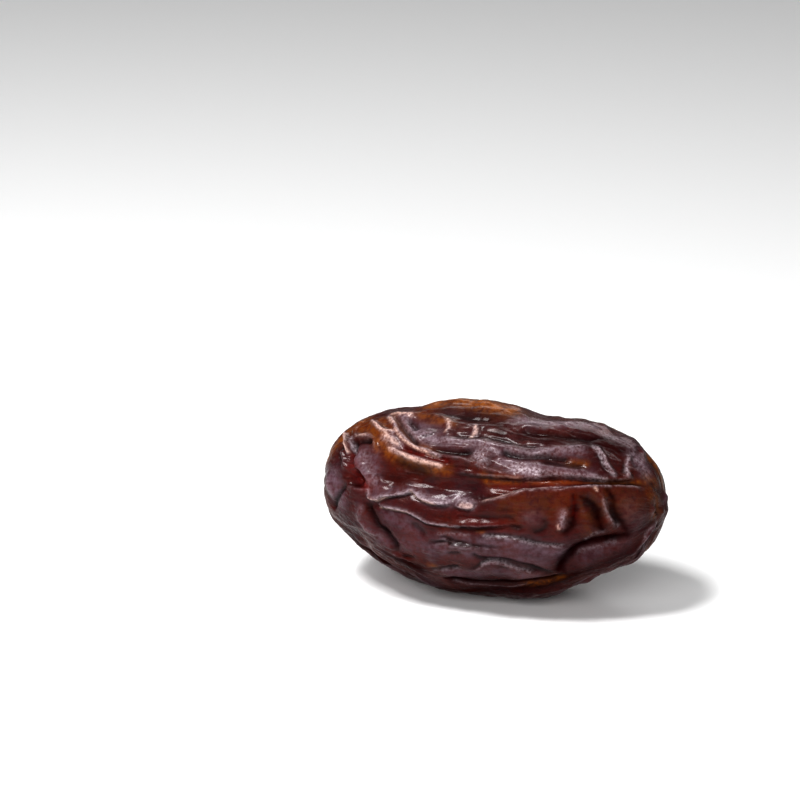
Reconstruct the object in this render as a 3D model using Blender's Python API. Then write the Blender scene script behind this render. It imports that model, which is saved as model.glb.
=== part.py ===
"""A whole dried date lying on its side, built as the one solid that it grew as. Metres, +Z up.

The date is a barrel with blunt ends, bent a little so that both ends lift off the surface. Folds of
skin are laid on the barrel as heights along its normal: broad swells and dips, ridges, creases and
furrows, ledges where one plate of skin lies over the next, and lips that also lean out over a
groove. Wrinkles come last, and the underside is pressed flat where the date rests.

A place on the skin is two angles in degrees:
  polar   0 at the stem end (-X), 90 at the belly, 180 at the blossom end (+X)
  around  0 on top (+Z), 90 at the front (-Y), 180 underneath, -90 at the back (+Y)
The folds of the front are given where the photograph shows them, in its pixels, and are carried on
to the barrel along the photograph's lines of sight.
"""
import math
import random

import bmesh
import bpy
import numpy as np
from mathutils import Matrix, Vector, noise

MM = 0.001

# The barrel that the folds of skin are laid on
HALF_LENGTH = 22.7 * MM
HALF_WIDTH = 11.9 * MM
CROWN = 13.6 * MM
BELLY = 11.3 * MM
BLUNTNESS = 2.25
STEM_LIFT = 2.8 * MM
TIP_LIFT = 2.05 * MM
TILT = 0.75 * MM
REST_FLAT = 0.45 * MM

# The mesh: meridians run from end to end, and rings go round
MERIDIANS = 132
RINGS = 45
FRONT = math.radians(62)  # around angle of the middle of the front
FRONT_CROWDING = 0.2  # how much closer than average the meridians lie there
FOLD_ROUNDNESS = 0.55 * MM  # roundness of the sharpest ridge, crease or ledge
LIP_LEAN = 0.15  # how far a lip leans out over its groove, against its height

# Skin colour and finish
SKIN_COLOUR = (0.085, 0.022, 0.014, 1.0)
SKIN_ROUGHNESS = 0.33

# The photograph's view of the date: its turn and rise, its distance, the point aimed at, how far the
# date lies right of and above the middle of the picture, and the lens with its sensor in millimetres
VIEW_TURN = math.radians(19)
VIEW_RISE = math.radians(18)
VIEW_DISTANCE = 0.45
VIEW_AIM = Vector((0, 0, 12.2 * MM))
VIEW_OFF_RIGHT = 11.95 * MM
VIEW_OFF_UP = -12.96 * MM
SENSOR = 36.0
LENS = 157.5
PHOTO_SIZE = 800

# The search for the place on the barrel that a pixel shows
SOLVER_STEPS = 20
NUDGE = 0.05
STIFFNESS = 0.01
LONGEST_STEP = 6  # degrees

# Each fold is its kind, its height and its reach to either side in millimetres, and its path. Swells
# and dips are broad. Ridges and creases are sharp, and a furrow is a round valley. A ledge or lip is
# raised on the left of its path, seen from outside, and a lip also leans out over a groove.

# Broad forms, along paths of (polar, around) places
BROAD_FORMS = (
    # the blister on top, and the hollow below it
    ("swell", 0.9, 3.0, ((64, 2), (78, -4), (92, -4), (103, 1))),
    ("dip", 0.5, 1.6, ((62, 20), (66, 25), (70, 31))),
    # the hollow above the long flap, and its narrow run to the blossom end
    ("dip", 0.9, 1.5, ((58, 60), (63, 61), (70, 61), (78, 61), (88, 61), (97, 60))),
    ("dip", 0.3, 0.8, ((93, 61), (100, 60), (112, 57), (123, 54), (135, 51.5), (150, 46))),
    # the dished plate at the stem end
    ("dip", 0.4, 1.5, ((51, 45), (52, 52), (52, 60))),
    # the hollow low on the right
    ("dip", 1.0, 1.5, ((122, 106), (128, 103.5), (136, 101), (144, 99), (149, 97))),
    # flatter low at both ends, and sloping at the stem end's shoulder
    ("dip", 0.5, 3.0, ((97, 168), (104, 166), (110, 164))),
    ("dip", 1.3, 4.0, ((108, 170), (120, 167), (132, 162), (142, 154), (152, 146))),
    ("dip", 1.4, 3.9, ((24, 126), (40, 130), (54, 137), (66, 142), (78, 147))),
    ("dip", 0.8, 3.0, ((54, -20), (62, -20), (70, -18))),
    ("dip", 0.9, 2.6, ((96, -16), (106, -13), (118, -14))),
    ("swell", 1.0, 3.0, ((132, -10), (146, -17))),
)

# Folds that the photograph shows, along paths of pixels
FRONT_FOLDS = (
    # the long flap, its crumpled end, and the fold that comes out from under it
    (
        "lip", 1.05, 1.1,
        (
            (367.5, 490), (366.5, 493.5), (368, 497.5), (375, 499), (381, 496), (387, 494.5),
            (398, 494), (406, 491.5), (411.5, 489), (414.5, 491.5), (421, 497.5), (431, 501.5),
            (440, 502.5), (446, 503.5), (453.5, 501),
        ),
    ),
    ("lip", 0.85, 0.8, ((453.5, 500), (456.5, 506), (463.5, 507.5), (471, 507.5), (473.5, 501.5))),
    (
        "lip", 0.5, 1.2,
        (
            (646, 487), (637, 486), (617, 485), (597.5, 485), (576, 486.5), (560, 488.5),
            (546.5, 487),
        ),
    ),
    (
        "lip", 0.65, 1.3,
        (
            (554, 488.5), (547, 487.5), (533, 490), (523, 490.5), (513.5, 494), (502, 497.5),
            (493.5, 499.5), (486, 500), (478, 501),
        ),
    ),
    # the second fold below it
    (
        "lip", 0.5, 0.7,
        (
            (375, 502.5), (382, 506), (392, 508), (402, 510), (410, 513), (418, 517.5),
            (425, 521.5), (434, 523.5), (446.5, 525.5), (457, 527.5),
        ),
    ),
    ("ledge", 0.4, 0.9, ((446, 525.5), (457, 527), (473, 528), (490, 528), (510, 527.5))),
    (
        "crease", 0.4, 0.5,
        (
            (455, 515), (466, 516.5), (484.5, 518.5), (500, 518.5), (508, 518.5), (516, 520),
        ),
    ),
    (
        "crease", 0.3, 0.5,
        (
            (540.5, 517.5), (545, 520.5), (547, 524.5), (544, 529), (538, 531.5), (530, 531),
        ),
    ),
    ("ridge", 0.5, 0.6, ((562, 514), (563, 520), (561.5, 527))),
    # the edge of the upper skin
    (
        "ledge", 0.35, 1,
        (
            (455, 472), (468, 474), (482, 476), (497, 477.5), (512, 478.5), (526, 478.5),
            (540, 477.5), (558, 476.5), (575, 477), (590, 478), (604, 479.5), (620, 480),
            (637, 479),
        ),
    ),
    # ridges and valleys from the stem end's shoulder
    (
        "ridge", 0.6, 0.54,
        (
            (389, 417), (393, 422), (396.5, 428), (400, 433), (406, 440), (414, 446.5), (422, 450),
            (430, 453), (440, 455.5), (450, 458), (460, 460), (473, 463.5), (483, 468),
            (495, 471.5), (512, 476),
        ),
    ),
    ("ledge", 0.4, 0.9, ((396, 416.5), (403, 424), (409, 432), (416, 440), (424, 444.5))),
    (
        "crease", 0.48, 0.57,
        (
            (394, 443), (401, 448.5), (410, 451), (425, 455.5), (440, 459), (452, 462.5),
        ),
    ),
    (
        "ridge", 0.65, 0.8,
        (
            (386, 442), (390, 449), (398, 453), (406, 456), (415, 459), (425, 462), (435, 464.5),
            (447, 467),
        ),
    ),
    ("furrow", 0.5, 1, ((392, 459), (405, 464), (420, 469), (436, 472))),
    ("ridge", 0.5, 0.6, ((393, 413), (400, 414), (410, 415.5), (421, 414))),
    ("ledge", 0.5, 0.6, ((419, 434.5), (426, 434.5), (432, 433), (436, 429.5))),
    # the cleft at the stem end, between sharp ridges, and the arch beside it
    ("crease", 1, 0.5, ((355.5, 438.5), (355, 445), (353.5, 452), (351.5, 459), (351, 464))),
    ("ridge", 0.6, 0.45, ((342, 448), (343.5, 454), (344.5, 459), (345.5, 465.5), (347.5, 470.5))),
    ("ledge", 0.5, 1, ((354, 452), (354, 460), (355, 467), (359, 472.5), (364.5, 479), (369.5, 486))),
    ("furrow", 0.9, 0.8, ((351.5, 466), (353, 474), (357, 480.5), (363, 484))),
    ("ledge", 0.4, 0.8, ((368, 488), (359, 487.5), (350, 485.5), (346, 484.5))),
    # the lobe low at the stem end
    ("ridge", 0.4, 0.7, ((327, 471), (329.5, 484), (331, 497))),
    ("crease", 0.55, 0.6, ((346, 482), (343, 488), (337.5, 495), (333, 502), (331, 510))),
    (
        "crease", 0.6, 0.65,
        (
            (365, 501), (369.5, 510), (374.5, 519), (379, 527), (385, 531), (390, 538), (395, 546),
            (399, 554),
        ),
    ),
    ("furrow", 0.35, 0.5, ((408, 524), (414.5, 526), (421, 530.5), (426, 536.5))),
    ("furrow", 0.3, 0.7, ((346.5, 528), (352, 534), (358, 540))),
    ("ridge", 0.3, 0.45, ((361, 508), (359, 519), (363, 527), (371.5, 533.5), (379, 536.5))),
    # crackled skin below the lobe
    ("ridge", 0.3, 0.45, ((422, 546), (424, 550), (431, 553.5), (432, 561))),
    # plates of skin low on the front
    (
        "ledge", 0.4, 1.2,
        (
            (570.5, 549.5), (562, 546), (544, 545), (529.5, 542), (517.5, 539), (502, 537),
            (484, 537), (480.5, 539.5), (480, 543),
        ),
    ),
    ("ledge", 0.35, 0.9, ((474, 542), (467, 544), (455, 543.5), (445, 538.5), (436, 538.5))),
    (
        "ledge", 0.35, 1.1,
        (
            (504.5, 548), (495, 547.5), (484, 547), (467, 545.5), (453, 545.5), (447, 542.5),
            (431, 544), (427.5, 548),
        ),
    ),
    (
        "crease", 0.42, 0.45,
        (
            (471.5, 551), (475, 556), (481.5, 559), (495, 560), (508, 561), (526, 566),
            (544, 571.5), (556, 576),
        ),
    ),
    (
        "ledge", 0.42, 1,
        (
            (541.5, 573), (532, 571.5), (520, 568.5), (508, 565), (498, 562.5), (491, 562),
            (483, 563.5), (475.5, 568.5), (465, 569.5),
        ),
    ),
    ("crease", 0.45, 0.5, ((429, 570), (440, 569), (448, 568.5), (462, 568.5))),
    (
        "crease", 0.64, 0.8,
        (
            (445.5, 578), (458, 581), (472, 583), (496, 584.5), (520, 583), (544, 581),
            (558.5, 578), (566, 574),
        ),
    ),
    # the dark hollow low on the right, and the furrows above it
    (
        "crease", 0.56, 0.7,
        (
            (558, 572), (561, 565), (566, 557), (576, 549), (590, 542), (604, 540), (618, 540.5),
            (626.5, 536),
        ),
    ),
    ("furrow", 0.4, 0.8, ((573.5, 497), (574.5, 505), (573.5, 517), (569, 529), (564, 532))),
    ("furrow", 0.5, 0.95, ((580, 498.5), (588, 502), (594, 507), (597.5, 515), (600, 528))),
    ("furrow", 0.5, 0.75, ((611, 496), (612, 505), (614, 513), (620, 522), (625.5, 530))),
    ("ridge", 0.4, 0.5, ((602, 492), (604, 500), (606, 508), (611, 518), (617, 526))),
    # long ridges on top, with dark valleys between
    (
        "ridge", 0.32, 0.96,
        (
            (512.5, 424), (532, 427), (548, 429.5), (561, 426.5), (574, 422.5), (591, 425),
            (601.5, 425.5), (610, 433),
        ),
    ),
    (
        "crease", 0.3, 0.57,
        (
            (520, 431), (530, 433), (545, 434.5), (560, 436), (571.5, 437), (591, 438.5),
            (617, 438),
        ),
    ),
    (
        "ridge", 0.39, 0.72,
        (
            (438, 437.5), (450, 439.5), (465, 441), (480, 442.5), (490, 445), (500, 447.5),
            (512.5, 449.5), (524, 452), (535, 453.5), (545, 452.5), (556, 450), (571.5, 448),
            (583, 447), (592, 446.5),
        ),
    ),
    (
        "crease", 0.27, 0.48,
        (
            (452, 435.5), (466, 436.5), (480, 437.5), (495, 440), (510, 443), (525, 446),
            (540, 446),
        ),
    ),
    (
        "crease", 0.42, 0.48,
        (
            (500, 451.5), (512.5, 455), (525, 457), (536, 457), (553, 458.5), (571.5, 460),
        ),
    ),
    (
        "ridge", 0.32, 0.6,
        (
            (420, 442.5), (428, 444.5), (436, 446), (450, 446.5), (465, 447), (473, 445.5),
        ),
    ),
    ("crease", 0.51, 0.57, ((430, 449.5), (440, 451.5), (452, 452.5), (465, 452.5), (476, 451))),
    (
        "ridge", 0.32, 0.6,
        (
            (501, 459), (510, 461), (519, 463), (539, 465), (552, 468), (571.5, 470.5), (587, 473),
            (597, 475.5), (604, 477),
        ),
    ),
    ("crease", 0.3, 0.57, ((540, 461.5), (555, 463.5), (570, 465), (588, 467))),
    ("ridge", 0.21, 1.08, ((512, 469), (522, 470.5), (534, 472.5))),
    ("ridge", 0.28, 0.48, ((483, 431), (492, 430.5), (503, 431), (512, 433))),
    # the crumple among them, and the sharp fold across their ends
    ("ridge", 0.21, 0.48, ((628, 450), (634, 447.5), (642, 452), (645, 461), (642, 467))),
    # under the blister
    (
        "ridge", 0.32, 0.48,
        (
            (427, 415), (435, 417), (446, 420), (458, 422.5), (470, 425.5), (480, 427),
            (492, 427.5), (505, 426.5),
        ),
    ),
    # the blossom end
    ("ridge", 0.5, 0.5, ((656, 521), (650, 530), (643, 540), (637, 547), (628, 556))),
    ("furrow", 0.5, 0.6, ((657.5, 530), (650.5, 540), (643, 549))),
)

# Round dents and bumps: height and radius in millimetres, then the pixel
BLOBS = (
    (-0.8, 0.9, (353, 477)),
    (-0.5, 0.8, (359, 482)),
    (0.35, 1.3, (534, 521)),
    (0.3, 0.5, (391, 438)),
    (0.3, 0.5, (397.5, 446)),
    (0.5, 0.6, (483, 461)),
    (0.3, 0.5, (489, 453)),
    (0.4, 0.5, (653, 509)),
    (0.4, 0.6, (664.5, 497)),
    (0.35, 0.5, (660.5, 512)),
)

# Folds on the sides that the front list leaves bare
HIDDEN_FROM = 132
HIDDEN_TO = 336
HIDDEN_ROWS = 17
SEED = 7
NOISE_SEED = 16  # fixes how folds stray and wrinkles run

# Puckers of skin round the two ends
END_PUCKERS = 11
STEM_SCAR_REACH = 1.9 * MM
STEM_SCAR_DEPTH = 1.3 * MM
TIP_REACH = 1.1 * MM
TIP_HEIGHT = 0.5 * MM

# How folds stray from their paths, how their heights vary along them, and how they fade at their ends
WANDER = 0.2 * MM
WANDER_LENGTH = 3.5 * MM
UNEVENNESS = 0.45
UNEVEN_LENGTH = 2.6 * MM
END_FADE = 0.9 * MM

# Wrinkles, stretched along the date, and how much lower they are on the front with its own folds
WRINKLE_HEIGHT = 0.26 * MM
WRINKLE_LENGTH = 6.5 * MM
WRINKLE_WIDTH = 2.3 * MM
WRINKLE_FRONT_CALM = 0.55


def barrel(polar, around):
    """Points of the bare barrel, as an array with a last axis of X, Y, Z."""
    along, across = -np.cos(polar), np.abs(np.sin(polar))
    grow = (np.abs(along) ** BLUNTNESS + across**BLUNTNESS) ** (-1 / BLUNTNESS)
    along, across = along * grow, across * grow
    up = np.cos(around)
    half_height = np.where(up > 0, CROWN, BELLY)
    bend = np.where(along < 0, STEM_LIFT, TIP_LIFT) * along**2 + TILT * along
    x = HALF_LENGTH * along
    y = -HALF_WIDTH * across * np.sin(around)
    z = half_height * across * up + bend + BELLY - REST_FLAT
    return np.stack([x, y, z], -1)


def barrel_normals(polar, around):
    """Outward unit normals of the bare barrel."""
    step = 1e-3
    safe = np.clip(polar, 2 * step, math.pi - 2 * step)
    along = barrel(safe + step, around) - barrel(safe - step, around)
    round_about = barrel(safe, around + step) - barrel(safe, around - step)
    normals = np.cross(round_about, along)
    return normals / np.linalg.norm(normals, axis=-1, keepdims=True)


def view_axes():
    """The directions of the photograph's view: to its right, up, and back from what it shows."""
    turn, rise = VIEW_TURN, VIEW_RISE
    back = np.array([math.sin(turn) * math.cos(rise), -math.cos(turn) * math.cos(rise), math.sin(rise)])
    right = np.array([math.cos(turn), math.sin(turn), 0])
    return right, np.cross(back, right), back


def shown_at(places):
    """The pixels that show (polar, around) places in degrees, on the bare barrel."""
    offset = barrel(*np.radians(places).T) - np.array(VIEW_AIM)
    right, up, back = view_axes()
    scale = LENS / SENSOR * PHOTO_SIZE / (VIEW_DISTANCE - offset @ back)
    across = scale * (offset @ right + VIEW_OFF_RIGHT)
    above = scale * (offset @ up + VIEW_OFF_UP)
    return np.stack([PHOTO_SIZE / 2 + across, PHOTO_SIZE / 2 - above], -1)


def places_in_view():
    """Places in degrees all over the side of the bare barrel that the photograph shows."""
    polar, around = np.meshgrid(np.arange(12.0, 176, 3), np.arange(-40.0, 150, 3))
    places = np.stack([polar.ravel(), around.ravel()], -1)
    facing = barrel_normals(*np.radians(places).T) @ view_axes()[2]
    return places[facing > 0.05]


def on_barrel(pixels):
    """The (polar, around) places in degrees that the photograph shows at some pixels."""
    pixels = np.array(pixels, float)
    starts = places_in_view()
    apart = np.linalg.norm(shown_at(starts) - pixels[:, None], axis=2)
    places = starts[apart.argmin(axis=1)]
    for _ in range(SOLVER_STEPS):
        miss = shown_at(places) - pixels
        nudged = [shown_at(places + nudge) - shown_at(places - nudge) for nudge in NUDGE * np.eye(2)]
        slopes = np.stack(nudged, 1) / (2 * NUDGE)
        square = slopes @ slopes.transpose(0, 2, 1) + STIFFNESS * np.eye(2)
        steps = np.linalg.solve(square, slopes @ miss[:, :, None])[:, :, 0]
        places = places - np.clip(steps, -LONGEST_STEP, LONGEST_STEP)
    return places


def seen(folds):
    """Folds whose paths of pixels have become paths of (polar, around) places."""
    return [(*sizes, on_barrel(pixels)) for *sizes, pixels in folds]


def smooth_path(places, spacing):
    """A curve through the given (polar, around) places, as angles in radians about spacing apart."""
    knots = np.radians(np.array(places, float))
    padded = np.vstack([2 * knots[0] - knots[1], knots, 2 * knots[-1] - knots[-2]])
    pieces = []
    for a, b, c, d in zip(padded, padded[1:], padded[2:], padded[3:]):
        span = np.linalg.norm(barrel(*b) - barrel(*c))
        t = np.arange(0, 1, spacing / max(span, spacing))[:, None]
        bend, twist = 2 * a - 5 * b + 4 * c - d, 3 * b - a - 3 * c + d
        pieces.append(0.5 * (2 * b + (c - a) * t + bend * t**2 + twist * t**3))
    return np.vstack([*pieces, knots[-1:]])


class Path:
    """A path over the barrel, that measures how far places on the skin lie from it."""

    def __init__(self, places):
        angles = smooth_path(places, 0.2 * MM)
        self.line = barrel(angles[:, 0], angles[:, 1])
        steps = np.gradient(self.line, axis=0)
        self.half_step = np.linalg.norm(steps, axis=1) / 2
        self.tangents = steps / (2 * self.half_step[:, None])
        self.sides = np.cross(barrel_normals(angles[:, 0], angles[:, 1]), self.tangents)
        hops = np.linalg.norm(np.diff(self.line, axis=0), axis=1)
        self.run = np.concatenate([[0], np.cumsum(hops)])

    def near(self, points, margin):
        low = self.line.min(0) - margin
        high = self.line.max(0) + margin
        return np.flatnonzero(np.all((points > low) & (points < high), axis=1))

    def measure(self, points):
        """Signed distance from the path, distance along it from its nearer end, and the way across it."""
        square = np.sum(self.line**2, axis=1) - 2 * points @ self.line.T
        nearest = square.argmin(axis=1)
        offset = points - self.line[nearest]
        forward = np.sum(offset * self.tangents[nearest], axis=1)
        forward = np.clip(forward, -self.half_step[nearest], self.half_step[nearest])
        offset = offset - forward[:, None] * self.tangents[nearest]
        distance = np.linalg.norm(offset, axis=1)
        side = np.where(np.sum(offset * self.sides[nearest], axis=1) < 0, -1.0, 1.0)
        run = self.run[nearest] + forward
        return distance * side, np.minimum(run, self.run[-1] - run), self.sides[nearest]


def ease(x):
    """0 below 0, 1 above 1, and smooth in between."""
    x = np.clip(x, 0, 1)
    return x * x * (3 - 2 * x)


def profile(kind, offset, reach, crest, wall):
    """Height of a fold of height 1 at a signed distance from its path, positive on the left."""
    away = np.sqrt(offset**2 + crest**2) - crest
    if kind == "swell":
        return np.exp(-((offset / reach) ** 2))
    if kind in ("dip", "furrow"):
        return -np.exp(-((offset / reach) ** 2))
    if kind == "ridge":
        return np.exp(-away / (0.6 * reach))
    if kind == "crease":
        return -np.exp(-away / (0.6 * reach))
    raised = ease(0.5 + offset / wall)
    rim = 0.25 * np.exp(-(((offset - wall / 2) / (0.6 * wall)) ** 2))
    plate, groove = (0.7, 0.3) if kind == "ledge" else (0.45, 0.35)
    plate = plate * raised * np.exp(-away / reach)
    return plate + rim - groove * (1 - raised) * np.exp(-away / (0.4 * reach))


def lay_folds(folds, points, crest):
    """Sum of the folds' heights over points on the barrel, and how far lips lean out."""
    heights = np.zeros(len(points))
    lean = np.zeros_like(points)
    uneven = 1 + UNEVENNESS * noise_values(points, UNEVEN_LENGTH)
    warped = points + WANDER * noise_vectors(points, WANDER_LENGTH)
    for kind, height, reach, places in folds:
        reach = reach * MM
        path = Path(places)
        near = path.near(warped, 4 * reach)
        offset, from_ends, way = path.measure(warped[near])
        fade = ease(from_ends / max(2.2 * reach, END_FADE) + 0.15)
        fade *= ease((4 * reach - np.abs(offset)) / reach) * uneven[near]
        wall = 2 * crest + 0.2 * height * MM
        fade *= height * MM
        heights[near] += fade * profile(kind, offset, reach, crest, wall)
        if kind == "lip":
            push = LIP_LEAN * fade * np.exp(-(((offset - wall / 2) / wall) ** 2))
            lean[near] -= push[:, None] * way
    return heights, lean


def noise_values(points, length):
    """Smooth noise between about -1 and 1, whose lumps are about the given length apart."""
    return np.array([noise.noise(Vector(p)) for p in points / length])


def noise_vectors(points, length):
    return np.array([noise.noise_vector(Vector(p)) for p in points / length])


def drawn_folds():
    """Folds for the back and the underside, laid out in rows by a rule with a seeded draw."""
    draw = random.Random(SEED)
    folds = []
    for row in range(HIDDEN_ROWS):
        middle = HIDDEN_FROM + (HIDDEN_TO - HIDDEN_FROM) * (row + 0.5) / HIDDEN_ROWS
        start = draw.uniform(28, 62)
        while start < 128:
            end = min(start + draw.uniform(34, 78), 155)
            count = max(3, round((end - start) / 13))
            drift = draw.uniform(-6, 6)
            places = []
            for i in range(count):
                share = i / (count - 1)
                wander = draw.uniform(-3.2, 3.2)
                places.append((start + (end - start) * share, middle + drift * (share - 0.5) + wander))
            kind = draw.choice(("ridge", "crease", "crease", "lip", "dip"))
            reach = draw.uniform(1.6, 2.4) if kind == "dip" else draw.uniform(0.8, 1.5)
            folds.append((kind, draw.uniform(0.3, 0.75), reach, places))
            start = end + draw.uniform(4, 14)
    return folds


def end_puckers():
    """Short creases that run out from the two ends of the date."""
    draw = random.Random(SEED + 1)
    folds = []
    for near_end, far_end, height in ((8, 36, 0.28), (172, 148, 0.15)):
        for i in range(END_PUCKERS):
            around = 360 * (i + draw.uniform(-0.25, 0.25)) / END_PUCKERS
            reach_out = near_end + (far_end - near_end) * draw.uniform(0.55, 1.1)
            middle = (near_end + reach_out) / 2
            places = ((near_end, around), (middle, around + draw.uniform(-6, 6)), (reach_out, around))
            folds.append(("crease", height * draw.uniform(0.4, 1), 0.9, places))
    return folds


def wrinkle_heights(polar, around, height, along, across):
    """Sharp-crested wrinkles, stretched along the date and fading at its ends."""
    run = HALF_LENGTH * polar / along
    radius = HALF_WIDTH / across
    places = np.stack([run, radius * np.cos(around), radius * np.sin(around)], -1)
    places += 0.7 * noise_vectors(places, 2)
    calm = 1 - WRINKLE_FRONT_CALM * ease(np.cos(around - FRONT))
    return height * calm * np.sin(polar) * (0.45 - 2.2 * np.abs(noise_values(places, 1)))


def end_heights(points):
    """The stem scar's hollow at one end and the blossom tip's point at the other."""
    stem, tip = barrel(np.array([0.0, math.pi]), np.zeros(2))
    from_stem = np.linalg.norm(points - stem, axis=1)
    from_tip = np.linalg.norm(points - tip, axis=1)
    scar = -STEM_SCAR_DEPTH * np.exp(-((from_stem / STEM_SCAR_REACH) ** 2))
    return scar + TIP_HEIGHT * np.exp(-((from_tip / TIP_REACH) ** 2))


def blob_heights(points):
    heights = np.zeros(len(points))
    for height, radius, pixel in BLOBS:
        centre = barrel(*np.radians(on_barrel([pixel])[0]))
        square = np.sum((points - centre) ** 2, axis=1)
        heights += height * MM * np.exp(-square / (radius * MM) ** 2)
    return heights


def skin(polar, around):
    """Points of the finished skin, centred over the origin."""
    bare = barrel(polar, around)
    folds = (*BROAD_FORMS, *seen(FRONT_FOLDS), *drawn_folds(), *end_puckers())
    heights, lean = lay_folds(folds, bare, FOLD_ROUNDNESS)
    heights += blob_heights(bare) + end_heights(bare)
    heights += wrinkle_heights(polar, around, WRINKLE_HEIGHT, WRINKLE_LENGTH, WRINKLE_WIDTH)
    points = bare + heights[:, None] * barrel_normals(polar, around) + lean
    points[:, 2] = np.maximum(points[:, 2], 0)
    middle = (points.min(0) + points.max(0)) / 2
    middle[2] = 0
    return points - middle


def skin_material():
    material = bpy.data.materials.new("date_skin")
    material.use_nodes = True
    shader = material.node_tree.nodes["Principled BSDF"]
    shader.inputs["Base Color"].default_value = SKIN_COLOUR
    shader.inputs["Roughness"].default_value = SKIN_ROUGHNESS
    shader.inputs["Metallic"].default_value = 0.0
    return material


def make_date():
    """The date as one closed mesh, made from a sphere whose poles are the fruit's two ends."""
    noise.seed_set(NOISE_SEED)
    bm = bmesh.new()
    poles_along_x = Matrix.Rotation(math.pi / 2, 4, "Y")
    bmesh.ops.create_uvsphere(
        bm, u_segments=MERIDIANS, v_segments=RINGS, radius=1, matrix=poles_along_x
    )
    unit = np.array([v.co for v in bm.verts], float)
    polar = np.arccos(np.clip(-unit[:, 0], -1, 1))
    around = np.arctan2(-unit[:, 1], unit[:, 2])
    around = around - FRONT_CROWDING * np.sin(around - FRONT)
    for vertex, point in zip(bm.verts, skin(polar, around)):
        vertex.co = point
    bmesh.ops.triangulate(bm, faces=bm.faces)
    bmesh.ops.recalc_face_normals(bm, faces=bm.faces)
    mesh = bpy.data.meshes.new("date")
    bm.to_mesh(mesh)
    bm.free()
    mesh.shade_smooth()
    date = bpy.data.objects.new("date", mesh)
    bpy.context.scene.collection.objects.link(date)
    mesh.materials.append(skin_material())
    return date


def main():
    for old in list(bpy.data.objects):
        bpy.data.objects.remove(old)
    make_date()


main()
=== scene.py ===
"""One whole dried date on a white surface, in soft studio light. Metres, +Z up.

A place on the skin is two angles in degrees:
  polar   0 at the stem end (-X), 90 half way along, 180 at the blossom end (+X)
  around  0 on top (+Z), 90 at the front (-Y), 180 underneath, -90 at the back (+Y)

What the photograph shows of the skin is given where it shows there, in its pixels right and down, and
on_barrel() works out the angles.
"""
import math
import random

import bmesh
import bpy
import numpy as np
from mathutils import Matrix, Vector, noise


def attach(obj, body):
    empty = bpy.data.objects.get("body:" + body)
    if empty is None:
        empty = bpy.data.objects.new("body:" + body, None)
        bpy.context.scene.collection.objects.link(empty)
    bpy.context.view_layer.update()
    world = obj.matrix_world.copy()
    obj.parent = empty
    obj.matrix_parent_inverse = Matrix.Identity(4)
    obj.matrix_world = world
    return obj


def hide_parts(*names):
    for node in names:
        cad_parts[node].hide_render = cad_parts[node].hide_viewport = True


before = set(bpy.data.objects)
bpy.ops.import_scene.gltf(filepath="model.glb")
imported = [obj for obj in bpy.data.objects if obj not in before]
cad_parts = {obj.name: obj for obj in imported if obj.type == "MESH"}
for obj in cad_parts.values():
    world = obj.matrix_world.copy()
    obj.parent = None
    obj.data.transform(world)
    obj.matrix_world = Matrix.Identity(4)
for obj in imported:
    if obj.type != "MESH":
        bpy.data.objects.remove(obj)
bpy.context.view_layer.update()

MM = 0.001

# The barrel that the folds of skin are laid on
HALF_LENGTH = 22.7 * MM
HALF_WIDTH = 11.9 * MM
CROWN = 13.6 * MM  # height of the top above the long axis
BELLY = 11.3 * MM  # depth of the underside below it
BLUNTNESS = 2.25  # 2 is an ellipse, and more gives fuller shoulders
STEM_LIFT = 2.8 * MM  # how far the long axis bends up at the stem end
TIP_LIFT = 2.05 * MM  # and at the blossom end
TILT = 0.75 * MM  # how far the whole is raised at the blossom end and lowered at the other
REST_FLAT = 0.45 * MM  # how deep the underside is pressed flat

# The mesh: meridians run from end to end, and rings go round
MERIDIANS = 336
RINGS = 296
FRONT = math.radians(62)  # around angle of the middle of the front
FRONT_CROWDING = 0.5  # how much closer than average the meridians lie there
RING_CROWDING = 0.3  # how much closer than average the rings lie half way to each end
FOLD_ROUNDNESS = 0.12 * MM  # roundness of the sharpest ridge, crease or ledge
SMOOTHING = 0.5  # share of the way that each vertex moves to the mean of its neighbours
LIP_LEAN = 0.3  # how far a lip leans out over its groove, against its height

# The camera, at the photograph's viewing angle
CAMERA_TURN = math.radians(19)
CAMERA_RISE = math.radians(18)
CAMERA_DISTANCE = 0.45
AIM = Vector((0, 0, 12.2 * MM))
AIM_OFF_RIGHT = 11.95 * MM
AIM_OFF_UP = -12.96 * MM
SENSOR = 36.0  # millimetres
LENS = 157.5  # millimetres
PHOTO_SIZE = 800  # pixels

# How on_barrel() searches, in degrees: the places that it starts from, the steps that it takes, the
# nudge that it measures slopes with, and a stiffness that keeps it steady where the skin turns away
START_POLAR = (12.0, 176.0)
START_AROUND = (-40.0, 150.0)
START_SPACING = 3
LEAST_FACING = 0.05  # 1 is square on to the camera, 0 edge on
SOLVER_STEPS = 20
LONGEST_STEP = 6
NUDGE = 0.05
STIFFNESS = 0.01
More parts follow.
